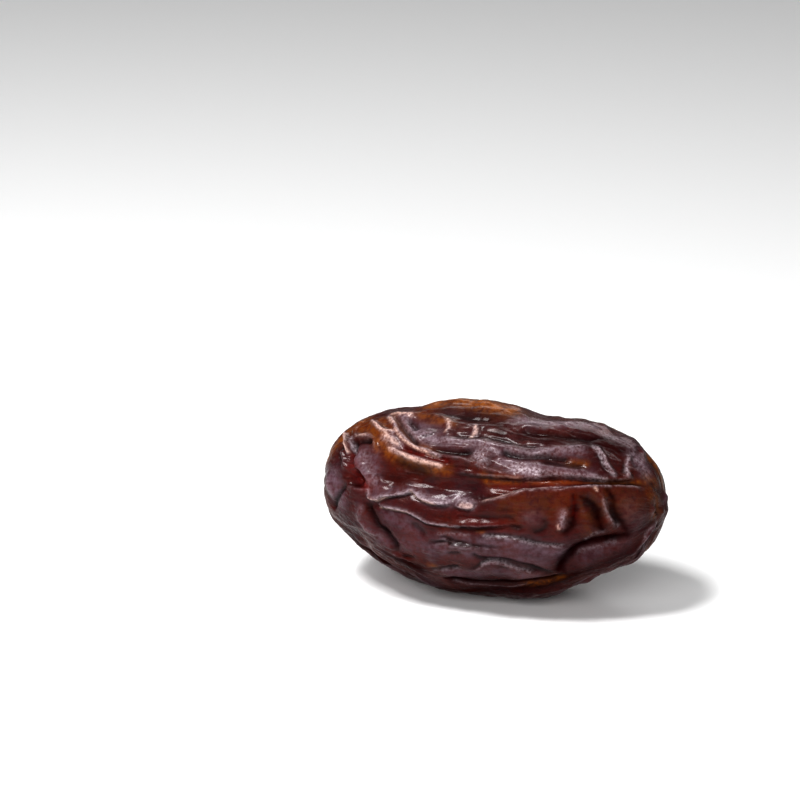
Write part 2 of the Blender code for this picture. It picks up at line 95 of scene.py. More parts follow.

# Each fold is its kind, its height and its reach to either side in millimetres, and its path. Swells
# and dips are broad. Ridges and creases are sharp, and a furrow is a round valley with painted shade. A
# ledge or lip is raised on the left of its path, seen from outside, and a lip also leans out over a
# groove.

# Broad forms, along paths of (polar, around) places
BROAD_FORMS = (
    # the blister on top, and the hollow below it
    ("swell", 0.9, 3.0, ((64, 2), (78, -4), (92, -4), (103, 1))),
    ("dip", 0.5, 1.6, ((62, 20), (66, 25), (70, 31))),
    # the hollow above the long flap, and its narrow run to the blossom end
    ("dip", 0.9, 1.5, ((58, 60), (63, 61), (70, 61), (78, 61), (88, 61), (97, 60))),
    ("dip", 0.3, 0.8, ((93, 61), (100, 60), (112, 57), (123, 54), (135, 51.5), (150, 46))),
    # the dished plate at the stem end
    ("dip", 0.4, 1.5, ((51, 45), (52, 52), (52, 60))),
    # the hollow low on the right
    ("dip", 1.0, 1.5, ((122, 106), (128, 103.5), (136, 101), (144, 99), (149, 97))),
    # flatter low at both ends, and sloping at the stem end's shoulder
    ("dip", 0.5, 3.0, ((97, 168), (104, 166), (110, 164))),
    ("dip", 1.3, 4.0, ((108, 170), (120, 167), (132, 162), (142, 154), (152, 146))),
    ("dip", 1.4, 3.9, ((24, 126), (40, 130), (54, 137), (66, 142), (78, 147))),
    ("dip", 0.8, 3.0, ((54, -20), (62, -20), (70, -18))),
    ("dip", 0.9, 2.6, ((96, -16), (106, -13), (118, -14))),
    ("swell", 1.0, 3.0, ((132, -10), (146, -17))),
)

# Folds that the photograph shows, along paths of pixels
FRONT_FOLDS = (
    # the long flap, its crumpled end, and the fold that comes out from under it
    ("lip", 1.05, 1.1, (
        (367.5, 490), (366.5, 493.5), (368, 497.5), (375, 499), (381, 496), (387, 494.5), (398, 494),
        (406, 491.5), (411.5, 489), (414.5, 491.5), (421, 497.5), (431, 501.5), (440, 502.5),
        (446, 503.5), (453.5, 501),
    )),
    ("lip", 0.85, 0.8, ((453.5, 500), (456.5, 506), (463.5, 507.5), (471, 507.5), (473.5, 501.5))),
    ("ridge", 0.4, 0.35, ((458, 494), (461, 500), (462.5, 506))),
    ("ridge", 0.6, 0.35, ((467.5, 492.5), (470.5, 497.5), (474.5, 500.5), (479, 501))),
    ("lip", 0.5, 1.2, (
        (646, 487), (637, 486), (617, 485), (597.5, 485), (576, 486.5), (560, 488.5), (546.5, 487),
    )),
    ("lip", 0.65, 1.3, (
        (554, 488.5), (547, 487.5), (533, 490), (523, 490.5), (513.5, 494), (502, 497.5),
        (493.5, 499.5), (486, 500), (478, 501),
    )),
    # the second fold below it
    ("lip", 0.5, 0.7, (
        (375, 502.5), (382, 506), (392, 508), (402, 510), (410, 513), (418, 517.5), (425, 521.5),
        (434, 523.5), (446.5, 525.5), (457, 527.5),
    )),
    ("ledge", 0.4, 0.9, ((446, 525.5), (457, 527), (473, 528), (490, 528), (510, 527.5))),
    ("crease", 0.45, 0.4, (
        (452, 527.5), (466.5, 529), (480, 529.5), (495, 529), (512.5, 528), (524, 529.5),
    )),
    ("crease", 0.4, 0.5, (
        (455, 515), (466, 516.5), (484.5, 518.5), (500, 518.5), (508, 518.5), (516, 520),
    )),
    ("crease", 0.3, 0.5, (
        (540.5, 517.5), (545, 520.5), (547, 524.5), (544, 529), (538, 531.5), (530, 531),
    )),
    ("ridge", 0.5, 0.6, ((562, 514), (563, 520), (561.5, 527))),
    # the edge of the upper skin
    ("ledge", 0.35, 1, (
        (455, 472), (468, 474), (482, 476), (497, 477.5), (512, 478.5), (526, 478.5), (540, 477.5),
        (558, 476.5), (575, 477), (590, 478), (604, 479.5), (620, 480), (637, 479),
    )),
    ("crease", 0.35, 0.35, (
        (519, 479.5), (540, 478.5), (558, 477.5), (584.5, 479), (604, 480.5), (625, 480.5),
    )),
    # ridges and valleys from the stem end's shoulder
    ("ridge", 0.6, 0.54, (
        (389, 417), (393, 422), (396.5, 428), (400, 433), (406, 440), (414, 446.5), (422, 450),
        (430, 453), (440, 455.5), (450, 458), (460, 460), (473, 463.5), (483, 468), (495, 471.5),
        (512, 476),
    )),
    ("furrow", 0.5, 0.35, ((394, 417), (401, 424.5), (407, 433), (414, 441), (421, 446))),
    ("ledge", 0.4, 0.9, ((396, 416.5), (403, 424), (409, 432), (416, 440), (424, 444.5))),
    ("crease", 0.48, 0.57, (
        (394, 443), (401, 448.5), (410, 451), (425, 455.5), (440, 459), (452, 462.5),
    )),
    ("ridge", 0.65, 0.8, (
        (386, 442), (390, 449), (398, 453), (406, 456), (415, 459), (425, 462), (435, 464.5),
        (447, 467),
    )),
    ("furrow", 0.5, 1, ((392, 459), (405, 464), (420, 469), (436, 472))),
    ("ridge", 0.8, 0.4, ((373, 421), (375, 425), (382, 430), (388, 432.5), (395, 433))),
    ("ridge", 0.5, 0.6, ((393, 413), (400, 414), (410, 415.5), (421, 414))),
    ("crease", 0.9, 0.4, ((409, 418.5), (412, 421.5), (415, 425), (416.5, 429))),
    ("ledge", 0.5, 0.6, ((419, 434.5), (426, 434.5), (432, 433), (436, 429.5))),
    # the cleft at the stem end, between sharp ridges, and the arch beside it
    ("ridge", 0.8, 0.35, ((346, 434), (347, 438), (348.5, 444), (349.5, 450), (350, 455))),
    ("ridge", 0.5, 0.35, ((352, 438), (352.5, 446), (353.5, 453))),
    ("crease", 0.6, 0.4, ((343.5, 437), (343.5, 445), (343, 453))),
    ("crease", 1, 0.5, ((355.5, 438.5), (355, 445), (353.5, 452), (351.5, 459), (351, 464))),
    ("ridge", 0.6, 0.45, ((342, 448), (343.5, 454), (344.5, 459), (345.5, 465.5), (347.5, 470.5))),
    ("crease", 0.5, 0.4, ((339, 452), (340.5, 459), (341.5, 465))),
    ("ridge", 0.4, 0.4, ((356, 437.5), (361, 436), (368, 436.5), (373, 439), (375, 445), (374.5, 449))),
    ("crease", 0.6, 0.4, ((356, 442.5), (360, 441), (366, 440.5), (370, 441), (371.5, 445))),
    ("ridge", 0.45, 0.35, ((355, 436), (356, 430.5), (359, 425.5), (365, 420.5))),
    ("ledge", 0.5, 1, ((354, 452), (354, 460), (355, 467), (359, 472.5), (364.5, 479), (369.5, 486))),
    ("furrow", 0.9, 0.8, ((351.5, 466), (353, 474), (357, 480.5), (363, 484))),
    ("ledge", 0.4, 0.8, ((368, 488), (359, 487.5), (350, 485.5), (346, 484.5))),
    # the lobe low at the stem end
    ("ridge", 0.4, 0.7, ((327, 471), (329.5, 484), (331, 497))),
    ("crease", 0.55, 0.6, ((346, 482), (343, 488), (337.5, 495), (333, 502), (331, 510))),
    ("crease", 0.6, 0.65, (
        (365, 501), (369.5, 510), (374.5, 519), (379, 527), (385, 531), (390, 538), (395, 546),
        (399, 554),
    )),
    ("furrow", 0.35, 0.5, ((408, 524), (414.5, 526), (421, 530.5), (426, 536.5))),
    ("furrow", 0.3, 0.7, ((346.5, 528), (352, 534), (358, 540))),
    ("ridge", 0.3, 0.45, ((361, 508), (359, 519), (363, 527), (371.5, 533.5), (379, 536.5))),
    # crackled skin below the lobe
    ("ridge", 0.3, 0.45, ((422, 546), (424, 550), (431, 553.5), (432, 561))),
    ("crease", 0.3, 0.35, ((366, 552), (379, 556), (391, 563))),
    ("ridge", 0.3, 0.35, ((366, 549.5), (379, 553), (391, 560.5))),
    ("ridge", 0.3, 0.35, ((389, 551), (397, 556), (406, 560), (414, 566))),
    ("crease", 0.35, 0.3, ((400, 556), (407, 557.5), (417, 558.5))),
    ("crease", 0.35, 0.3, ((401, 561), (409, 564), (416, 568))),
    ("ridge", 0.2, 0.3, ((384, 541), (390, 548), (397, 552))),
    ("ridge", 0.2, 0.3, ((398, 540), (404, 546), (412, 549))),
    ("crease", 0.3, 0.3, ((396, 571), (408, 575), (421, 580))),
    ("ridge", 0.25, 0.3, ((404, 570), (417, 574), (432, 580))),
    # plates of skin low on the front
    ("ledge", 0.4, 1.2, (
        (570.5, 549.5), (562, 546), (544, 545), (529.5, 542), (517.5, 539), (502, 537), (484, 537),
        (480.5, 539.5), (480, 543),
    )),
    ("ledge", 0.35, 0.9, ((474, 542), (467, 544), (455, 543.5), (445, 538.5), (436, 538.5))),
    ("ledge", 0.35, 1.1, (
        (504.5, 548), (495, 547.5), (484, 547), (467, 545.5), (453, 545.5), (447, 542.5), (431, 544),
        (427.5, 548),
    )),
    ("crease", 0.28, 0.4, ((445.5, 553), (454, 553.5), (462.5, 553))),
    ("crease", 0.42, 0.45, (
        (471.5, 551), (475, 556), (481.5, 559), (495, 560), (508, 561), (526, 566), (544, 571.5),
        (556, 576),
    )),
    ("ledge", 0.42, 1, (
        (541.5, 573), (532, 571.5), (520, 568.5), (508, 565), (498, 562.5), (491, 562), (483, 563.5),
        (475.5, 568.5), (465, 569.5),
    )),
    ("crease", 0.32, 0.35, ((496, 566), (503, 567.5), (511, 568.5))),
    ("crease", 0.45, 0.5, ((429, 570), (440, 569), (448, 568.5), (462, 568.5))),
    ("crease", 0.64, 0.8, (
        (445.5, 578), (458, 581), (472, 583), (496, 584.5), (520, 583), (544, 581), (558.5, 578),
        (566, 574),
    )),
    # the dark hollow low on the right, and the furrows above it
    ("crease", 0.56, 0.7, (
        (558, 572), (561, 565), (566, 557), (576, 549), (590, 542), (604, 540), (618, 540.5),
        (626.5, 536),
    )),
    ("furrow", 0.4, 0.8, ((573.5, 497), (574.5, 505), (573.5, 517), (569, 529), (564, 532))),
    ("furrow", 0.5, 0.95, ((580, 498.5), (588, 502), (594, 507), (597.5, 515), (600, 528))),
    ("furrow", 0.5, 0.75, ((611, 496), (612, 505), (614, 513), (620, 522), (625.5, 530))),
    ("ridge", 0.4, 0.5, ((602, 492), (604, 500), (606, 508), (611, 518), (617, 526))),
    # long ridges on top, with dark valleys between
    ("ridge", 0.32, 0.96, (
        (512.5, 424), (532, 427), (548, 429.5), (561, 426.5), (574, 422.5), (591, 425), (601.5, 425.5),
        (610, 433),
    )),
    ("crease", 0.3, 0.57, (
        (520, 431), (530, 433), (545, 434.5), (560, 436), (571.5, 437), (591, 438.5), (617, 438),
    )),
    ("ridge", 0.39, 0.72, (
        (438, 437.5), (450, 439.5), (465, 441), (480, 442.5), (490, 445), (500, 447.5), (512.5, 449.5),
        (524, 452), (535, 453.5), (545, 452.5), (556, 450), (571.5, 448), (583, 447), (592, 446.5),
    )),
    ("crease", 0.27, 0.48, (
        (452, 435.5), (466, 436.5), (480, 437.5), (495, 440), (510, 443), (525, 446), (540, 446),
    )),
    ("crease", 0.42, 0.48, (
        (500, 451.5), (512.5, 455), (525, 457), (536, 457), (553, 458.5), (571.5, 460),
    )),
    ("ridge", 0.32, 0.6, (
        (420, 442.5), (428, 444.5), (436, 446), (450, 446.5), (465, 447), (473, 445.5),
    )),
    ("crease", 0.51, 0.57, ((430, 449.5), (440, 451.5), (452, 452.5), (465, 452.5), (476, 451))),
    ("ridge", 0.32, 0.6, (
        (501, 459), (510, 461), (519, 463), (539, 465), (552, 468), (571.5, 470.5), (587, 473),
        (597, 475.5), (604, 477),
    )),
    ("crease", 0.3, 0.57, ((540, 461.5), (555, 463.5), (570, 465), (588, 467))),
    ("ridge", 0.21, 1.08, ((512, 469), (522, 470.5), (534, 472.5))),
    ("ridge", 0.28, 0.48, ((483, 431), (492, 430.5), (503, 431), (512, 433))),
    # the crumple among them, and the sharp fold across their ends
    ("ridge", 0.35, 0.42, ((476, 452), (482, 456), (481, 462), (486, 465.5))),
    ("ridge", 0.32, 0.42, ((483, 450.5), (489, 455), (496, 457.5))),
    ("crease", 0.3, 0.33, ((486, 458), (490, 461), (493, 465))),
    ("ridge", 0.49, 0.42, (
        (593, 446), (597, 447.5), (600, 452), (604, 459), (606.5, 465), (612, 472), (617, 476.5),
    )),
    ("crease", 0.3, 0.38, ((596, 452), (600, 459), (602.5, 466), (607, 473))),
    ("ridge", 0.21, 0.48, ((628, 450), (634, 447.5), (642, 452), (645, 461), (642, 467))),
    ("crease", 0.3, 0.38, ((624, 460), (624.5, 468), (623, 476))),
    ("crease", 0.21, 0.38, ((632, 456), (635, 464), (641, 470))),
    # under the blister
    ("crease", 0.32, 0.43, ((444, 414.5), (458, 417), (470, 419), (485, 420.5), (493, 420.5))),
    ("crease", 0.18, 0.38, ((450, 421), (465, 422), (480, 423.5), (495, 423.5), (508, 421))),
    ("ridge", 0.32, 0.48, (
        (427, 415), (435, 417), (446, 420), (458, 422.5), (470, 425.5), (480, 427), (492, 427.5),
        (505, 426.5),
    )),
    ("ridge", 0.35, 0.36, ((447.5, 421.5), (449.5, 427), (447, 431.5), (442, 434))),
    ("ridge", 0.42, 0.42, ((475.5, 426.5), (476.5, 431), (473.5, 436))),
    ("crease", 0.24, 0.29, ((479, 427.5), (479, 433), (476, 438))),
    ("ridge", 0.35, 0.42, ((512.5, 413), (519, 414.5), (524, 417.5), (524, 422))),
    # the blossom end
    ("ridge", 0.5, 0.5, ((656, 521), (650, 530), (643, 540), (637, 547), (628, 556))),
    ("furrow", 0.5, 0.6, ((657.5, 530), (650.5, 540), (643, 549))),
    ("crease", 0.22, 0.4, ((657, 500), (657, 508), (659, 517))),
)

# Round dents and bumps: height and radius in millimetres, then the pixel
BLOBS = (
    (-0.8, 0.9, (353, 477)),
    (-0.5, 0.8, (359, 482)),
    (0.35, 1.3, (534, 521)),
    (0.25, 0.35, (558, 528)),
    (0.3, 0.5, (391, 438)),
    (0.35, 0.45, (394, 442)),
    (0.3, 0.5, (397.5, 446)),
    (0.5, 0.6, (483, 461)),
    (0.3, 0.5, (489, 453)),
    (0.4, 0.35, (629, 457.5)),
    (0.6, 0.45, (627.5, 475.5)),
    (0.4, 0.5, (653, 509)),
    (0.4, 0.6, (664.5, 497)),
    (0.35, 0.5, (660.5, 512)),
)

# Each patch of colour is its strength, its reach in millimetres, and a path of pixels. A strength over 1
# widens the part of the patch that is at full strength.

# Where skin that has lifted from the flesh shows amber
AMBER = (
    (0.4, 1.2, ((652, 493), (656, 502), (656, 512))),
    (0.6, 0.8, ((377, 440), (384, 447), (390, 452))),
    (0.5, 0.6, ((381, 419), (386, 424), (391, 429))),
    (0.5, 0.5, ((374, 433), (377, 441), (376, 449))),
    (0.7, 1.1, ((328, 456), (334, 447), (342, 438), (349, 431), (357, 425), (365, 420))),
    (0.5, 1.2, ((358, 428), (366, 427), (373, 430))),
    (0.5, 0.6, ((393, 418), (400, 426), (406, 434), (414, 443), (424, 449), (436, 454))),
    (0.8, 0.7, ((388, 452), (396, 457), (406, 460), (418, 463.5), (432, 467.5), (446, 469))),
    (0.6, 0.5, ((377, 432), (384, 436), (386, 443))),
    (0.9, 1.6, ((436, 407), (455, 406), (475, 408), (495, 411), (510, 413))),
    (1.0, 0.6, ((490, 411), (500, 412), (510, 413.5))),
    (0.5, 0.7, ((421, 415), (432, 420), (444, 422), (452, 424))),
    (1.0, 0.45, ((496, 480), (506, 480.5), (518, 480.5))),
    (0.6, 0.4, ((530, 482), (550, 481.5), (575, 482), (600, 482.5), (630, 483), (645, 482))),
    (0.9, 0.7, ((650, 459), (656, 466), (660.5, 475), (663.5, 484))),
    (0.5, 0.8, ((648, 478), (656, 484))),
    (0.8, 0.8, ((530, 588), (545, 586), (560, 581))),
    (0.6, 0.35, ((478, 531.5), (481, 532))),
    (0.5, 0.45, ((431, 566), (434, 567))),
    (0.18, 2.2, ((510, 505), (540, 502), (565, 505), (600, 503), (635, 505))),
    (0.2, 1.0, ((582, 512), (590, 520), (590, 530))),
    (0.5, 0.5, ((570, 463), (585, 464))),
    (0.6, 0.5, ((484, 477), (488, 481))),
)

# Where the flesh shows red through thin skin
RED = (
    (0.7, 0.4, ((351, 455), (351, 464), (352.5, 472))),
    (1.0, 0.9, ((352, 467), (354.5, 475), (359, 481), (366, 485))),
    (0.8, 0.7, ((399, 448.5), (412, 452.5), (428, 456.5), (446, 461))),
    (0.5, 1.2, ((500, 488), (540, 484.5), (580, 483))),
    (0.5, 0.8, ((460, 514), (480, 523), (505, 524))),
    (0.4, 0.8, ((573, 500), (574, 515))),
)

# Painted shade: where creases, hollows and the underside are painted nearly black, and the skin made dull
SHADE_PATCHES = (
    (0.95, 0.45, ((446, 579), (472, 583.5), (500, 585.5), (530, 584), (556, 580))),
    (0.85, 2.2, ((425, 584), (450, 590), (480, 593), (515, 593), (550, 588), (575, 578))),
    (0.95, 0.8, ((559, 570), (565, 560), (578, 550.5), (592, 543.5), (607, 541.5), (626, 536))),
    (0.8, 0.6, ((560, 558), (562, 567), (567, 577))),
    (0.6, 1.6, ((590, 572), (615, 560), (635, 548))),
    (0.9, 0.3, ((657.5, 526), (650.5, 534), (643.5, 546), (636, 557))),
    (0.85, 1.3, ((385, 560), (400, 564), (418, 569))),
    (0.9, 2.0, ((352, 548), (366, 561), (385, 571), (405, 579), (434, 590))),
    (0.6, 1.3, ((455, 583), (480, 580), (505, 581))),
    (0.7, 1.2, ((550, 440), (575, 441), (600, 443), (620, 450))),
    (0.6, 0.9, ((500, 428), (500, 434))),
    (0.6, 1.4, ((585, 436), (605, 441), (625, 451))),
    (0.5, 1.0, ((468, 416), (490, 418), (515, 417))),
    # the dark red valleys on the right of the belly
    (0.8, 0.4, ((574.5, 497), (574.5, 505), (574, 515), (573, 525), (565, 532))),
    (0.75, 0.35, ((582, 498), (590, 501.5), (597.5, 508), (599, 517))),
    (0.9, 0.65, ((598, 512), (599, 520), (602, 530))),
    (0.8, 0.45, ((608, 491), (613.5, 499.5), (615, 508), (619, 518), (624, 525), (627, 532))),
    (0.7, 0.7, ((615, 509), (618, 515))),
    (0.5, 0.6, ((520, 436), (550, 437), (575, 436))),
    (0.4, 0.8, ((383, 476), (393, 479), (405, 480))),
    (0.5, 0.7, ((369.5, 510), (375, 519), (385, 531), (395, 546))),
)

# Painted highlights and sheen: where crests and rims are painted pale and silvery
SHEEN_PATCHES = (
    # glints at the stem end
    (1.3, 0.22, ((346.5, 435), (347, 442), (348.5, 452))),
    (1.2, 0.18, ((352, 438), (353.5, 451))),
    (0.3, 0.5, ((327, 474), (329, 484), (331, 494))),
    (0.6, 0.3, ((357, 435), (363, 435), (369, 436))),
    # crests of the shoulder's ridges
    (1.2, 0.22, ((375, 423.5), (380, 429.5), (385, 432), (394, 433))),
    (0.9, 0.6, ((386, 437), (392, 440), (398, 445))),
    (1.1, 0.2, ((388.5, 416), (394, 423), (397, 430), (403, 437), (409, 442), (417, 447), (439, 455.5))),
    (0.95, 0.28, ((393, 450.5), (402, 454.5), (414, 458.5), (426, 461.5), (440, 466))),
    (0.5, 0.5, ((403, 415), (408, 424), (415, 436))),
    (0.3, 0.9, ((362, 455), (366, 466), (372, 480))),
    # rims of the long flap and of the fold below it
    (0.8, 0.3, ((368, 491), (369, 497), (375, 498), (384, 495), (398, 493), (411, 489))),
    (0.9, 0.45, ((417, 493), (425, 498), (436, 501), (447, 502))),
    (0.9, 0.55, ((457, 497), (463, 502), (471, 505))),
    (0.9, 0.16, ((382, 506), (395, 508), (410, 512), (424, 520), (440, 524), (457, 527))),
    (0.6, 0.15, ((498, 498), (520, 491), (548, 488), (580, 487), (610, 486))),
    # crests on top
    (0.5, 0.8, ((411, 427), (420, 432), (432, 438))),
    (0.4, 0.9, ((634, 457), (641, 464), (646, 472))),
    (0.9, 0.25, ((448, 422), (449.5, 427), (448, 431))),
    (1.0, 0.3, ((475.5, 427), (476, 432), (473, 436))),
    (0.5, 0.5, ((430, 440), (450, 441), (470, 443), (490, 446))),
    (1.1, 0.7, ((478, 455), (484, 461))),
    (0.8, 0.4, ((484, 449), (492, 450), (497, 453))),
    (0.5, 0.6, ((500, 462), (515, 466), (530, 469))),
    (1.3, 0.65, ((515, 468), (526, 470), (537, 472))),
    (0.6, 0.35, ((545, 472), (565, 474), (585, 476), (605, 479))),
    (0.4, 0.6, ((520, 421), (545, 423), (570, 424), (595, 427))),
    (0.35, 0.7, ((510, 449), (530, 453), (555, 451), (580, 450))),
    (0.5, 0.5, ((600, 432), (618, 440), (632, 449))),
    (1.0, 0.3, ((594, 447), (600, 454), (606, 465), (614, 475))),
    (1.0, 0.28, ((629, 457), (627, 465), (627, 475))),
    # edges of the low plates
    (0.35, 0.2, ((440, 533.5), (452, 533.5), (467, 535.5))),
    (0.4, 0.22, ((484, 536), (502, 536.5), (518, 538.5), (540, 544), (562, 545.5))),
    (0.4, 0.22, ((483, 563), (491, 561), (500, 562), (512, 566), (530, 571))),
    (0.3, 0.15, ((454, 582.5), (484, 588), (508, 590), (526, 588))),
    (0.3, 0.2, ((433, 571), (445, 570.5), (458, 570))),
    # the lobe and the crackled skin low at the stem end
    (0.2, 0.4, ((361, 508), (359, 519), (364, 528), (372, 534), (379, 537))),
    (0.3, 0.18, ((366, 549.5), (379, 553), (391, 560.5))),
    # low on the right
    (0.5, 0.4, ((564, 513), (561, 526))),
    (0.35, 0.35, ((604.5, 502), (607.5, 513.5), (613, 522), (618.5, 527))),
    (0.35, 0.25, ((587, 540), (595, 534), (604, 532))),
    (0.3, 0.3, ((580.5, 555.5), (592, 552), (609, 547), (617.5, 545))),
    (0.5, 0.18, ((655.5, 523), (647, 531), (641, 543), (634, 553.5))),
)

# Painted highlights: where the sharpest crests are painted a pale peach
HIGHLIGHT_PATCHES = (
    (1.0, 0.16, ((375.5, 424), (380, 429.5), (384, 432), (393, 432))),
    (0.9, 0.2, ((388.5, 417), (391, 421), (394, 424))),
    (1.0, 0.14, ((396, 430), (399, 435), (403, 439.5), (409, 444), (417, 448.5), (427, 452.5))),
    (0.4, 0.15, ((427, 453.5), (437, 457))),
    (0.95, 0.24, ((404, 455), (412, 458.5), (422, 461.5), (432, 464), (440, 466))),
    (0.5, 0.3, ((391, 449.5), (397, 451.5), (404, 454))),
    (0.7, 0.35, ((386, 435), (390, 439), (397, 444))),
    (0.9, 0.28, ((393, 414), (402, 415), (411, 416.5))),
    (0.5, 0.2, ((357, 435.5), (366, 435.5))),
    (0.9, 0.2, ((347, 437), (347.5, 443), (349, 452))),
    (0.7, 0.18, ((448.5, 421), (449.5, 427), (446, 432))),
    (0.8, 0.2, ((475.5, 428), (476, 432), (472, 436))),
    (0.6, 0.22, ((371, 497.5), (377, 499), (386, 495.5))),
    (0.8, 0.22, ((411, 490), (413, 493), (421, 498.5), (434, 502.5))),
    (0.5, 0.25, ((463, 504), (470, 505.5))),
    (0.4, 0.13, ((485, 501), (500, 497), (520, 491), (545, 488))),
    (0.4, 0.18, ((381, 507), (395, 509), (408, 512))),
    (1.0, 0.16, ((595.5, 489), (596.5, 490))),
    (0.7, 0.15, ((558, 526), (559, 528.5))),
)

# Where a lilac-grey bloom covers the skin
BLOOM = (
    (0.45, 0.8, ((359, 508), (358, 519), (363, 527), (371, 533), (378, 537))),
    (1.3, 1.4, ((333, 478), (335, 488), (338, 498))),
    (0.7, 1.4, ((390, 516), (402, 521), (414, 529))),
    (0.55, 1.5, ((380, 540), (400, 545), (418, 544), (432, 545))),
    (1.1, 1.0, ((411, 426), (418, 431), (426, 436), (434, 440))),
    (1.1, 1.1, ((634, 456), (641, 463), (646, 472))),
    (0.4, 0.8, ((415, 545), (424, 552), (432, 560))),
    (0.6, 0.8, ((652, 535), (648, 542), (644, 549))),
    (0.9, 1.5, ((360, 456), (362, 466), (366, 476))),
    (0.8, 1.2, ((372, 455), (372, 466), (374, 478), (378, 488))),
    (0.9, 0.8, ((327, 472), (329, 484), (331, 496))),
    (0.6, 0.6, ((339, 482), (341, 486))),
    (1.0, 1.0, ((398, 420), (406, 428), (413, 437), (420, 441))),
    (0.9, 0.9, ((404, 416), (411, 419))),
    (0.8, 1.0, ((418, 424), (428, 427), (438, 430))),
    (0.75, 0.8, ((372, 497), (384, 493), (398, 491), (410, 488))),
    (1.0, 0.8, ((415, 492), (424, 498), (436, 501), (447, 501.5), (453, 499))),
    (0.8, 0.6, ((460, 497), (466, 501), (470, 504))),
    (0.6, 1.2, ((440, 441), (460, 443), (480, 445), (500, 450), (520, 453))),
    (0.8, 0.8, ((535, 452), (560, 451), (580, 452))),
    (0.7, 0.7, ((500, 461), (530, 465), (560, 470), (590, 475))),
    (0.8, 0.8, ((512, 470), (534, 473))),
    (0.9, 0.9, ((515, 420), (535, 423), (560, 425), (580, 426), (600, 429))),
    (0.4, 1.2, ((600, 432), (620, 440), (640, 452))),
    (1.0, 1.2, ((484, 542), (500, 542), (520, 545), (540, 550), (560, 553))),
    (0.8, 1.2, ((432, 549), (446, 550), (462, 551), (480, 554), (510, 556), (540, 562))),
    (0.7, 0.8, ((440, 539), (455, 539), (468, 541))),
    (0.7, 0.9, ((450, 573), (470, 575), (490, 572), (510, 574), (535, 577))),
    (0.6, 1.0, ((425, 582), (436, 586))),
    (0.3, 1.5, ((362, 520), (372, 535), (385, 545))),
    (0.2, 1.3, ((395, 545), (410, 552))),
    (0.5, 0.9, ((528, 517), (538, 518))),
    (0.7, 0.6, ((562, 514), (562, 524))),
    (0.4, 1.5, ((630, 510), (640, 520))),
    (0.8, 0.4, ((653, 506), (653, 512))),
    (0.8, 0.4, ((664, 495), (663.5, 500))),
    (0.5, 0.5, ((656, 522), (646, 536))),
    (0.5, 1.2, ((585, 560), (605, 552), (625, 545))),
)

# Seeds of the draws, and of the noise by which folds stray and wrinkles run
SEED = 7
NOISE_SEED = 16

# Folds on the back and the underside: in rows round the date, each a line of folds from end to end.
# A pair is the least and the most of a draw. Angles are in degrees, heights and reaches millimetres.
HIDDEN_FROM = 132
HIDDEN_TO = 336
HIDDEN_ROWS = 17
ROW_START = (28, 62)  # where a row's first fold starts
ROW_LAST_START = 128  # no fold starts past this
ROW_END = 155  # and none ends past this
ROW_GAP = (4, 14)  # between one fold and the next
HIDDEN_LENGTH = (34, 78)
HIDDEN_DRIFT = 6  # how far a fold drifts round the date from end to end
HIDDEN_WANDER = 3.2  # how far each place of its path strays from that
KNOT_SPACING = 13  # between the places of its path
HIDDEN_KINDS = ("ridge", "crease", "crease", "lip", "dip")
HIDDEN_HEIGHT = (0.3, 0.75)
HIDDEN_REACH = (0.8, 1.5)
HIDDEN_DIP_REACH = (1.6, 2.4)

# Patches of colour on the back, each kind with its seed, how many, their strength and their reach
BACK_PATCHES = {
    "amber": (SEED + 2, 7, 0.6, 1.3),
    # painted silvery sheen on the back
    "painted_sheen": (SEED + 3, 30, 0.6, 0.4),
    "bloom": (SEED + 4, 34, 0.8, 1.4),
}
PATCHES_FROM = HIDDEN_FROM + 28  # clear of the underside that the photograph shows
PATCH_START = (22, 125)
PATCH_END = 158  # no patch ends past this
PATCH_LENGTH = (14, 45)
PATCH_BEND = 4  # how far the middle of its path strays round the date
PATCH_DRIFT = 7  # and how far its end does
PATCH_STRENGTH_SHARE = (0.5, 1.2)
PATCH_REACH_SHARE = (0.6, 1.4)

# Puckers of skin round each end: the polar angles where they start and end, and their height
PUCKERS = ((8, 36, 0.28), (172, 148, 0.15))
PUCKER_COUNT = 11
PUCKER_REACH = 0.9
PUCKER_STRAY = 0.25  # against the space between two
PUCKER_BEND = 6
PUCKER_LENGTH_SHARE = (0.55, 1.1)
PUCKER_HEIGHT_SHARE = (0.4, 1)

# The scar where the stem came off, and the point at the blossom end
STEM_SCAR_REACH = 1.9 * MM
STEM_SCAR_DEPTH = 1.3 * MM
TIP_REACH = 1.1 * MM
TIP_HEIGHT = 0.5 * MM

# How folds stray from their paths, and how their heights vary along them
PATH_SPACING = 0.2 * MM
WANDER = 0.2 * MM
WANDER_LENGTH = 3.5 * MM
FINE_WANDER = 0.08 * MM
FINE_WANDER_LENGTH = 1.1 * MM
UNEVENNESS = 0.45
UNEVEN_LENGTH = 2.6 * MM

# How folds and patches end: folds fade over END_FADE or over END_FADE_SHARE of their reach, whichever
# is more, from a share of their height. To the sides they end at a span, against their reach.
END_FADE = 0.9 * MM
END_FADE_SHARE = 2.2
END_SHARE = 0.15
FOLD_SPAN = 4
PATCH_SPAN = 2.5

# Profiles of folds, as shares of their height and reach. The wall of a ledge or lip drops from a
# raised plate with a rim to a groove, and is wider where it is high.
SHARP_FALL = 0.6  # where a ridge or crease has fallen to about a third
WALL_SLOPE = 0.2
PLATE_AND_GROOVE = {"ledge": (0.7, 0.3), "lip": (0.45, 0.35)}
RIM_HEIGHT = 0.25
RIM_WIDTH = 0.6  # against the wall's width
GROOVE_FALL = 0.4  # where a groove has risen to about a third

# Colour marks of folds, painted shade in grooves and painted highlights on crests and rims: strength, and
# width against the reach, or for a rim against the wall's width
RIDGE_HIGHLIGHT = (0.6, 0.25)
CREASE_SHADE = (1.0, 0.7)
FURROW_SHADE = (0.85, 0.8)
WALL_SHADE = (1.0, 0.25)
LIP_HIGHLIGHT = (1.0, 0.4)
LEDGE_HIGHLIGHT = (0.5, 0.4)
FULL_MARK = 0.4  # height in millimetres of a fold whose colour marks are at full strength

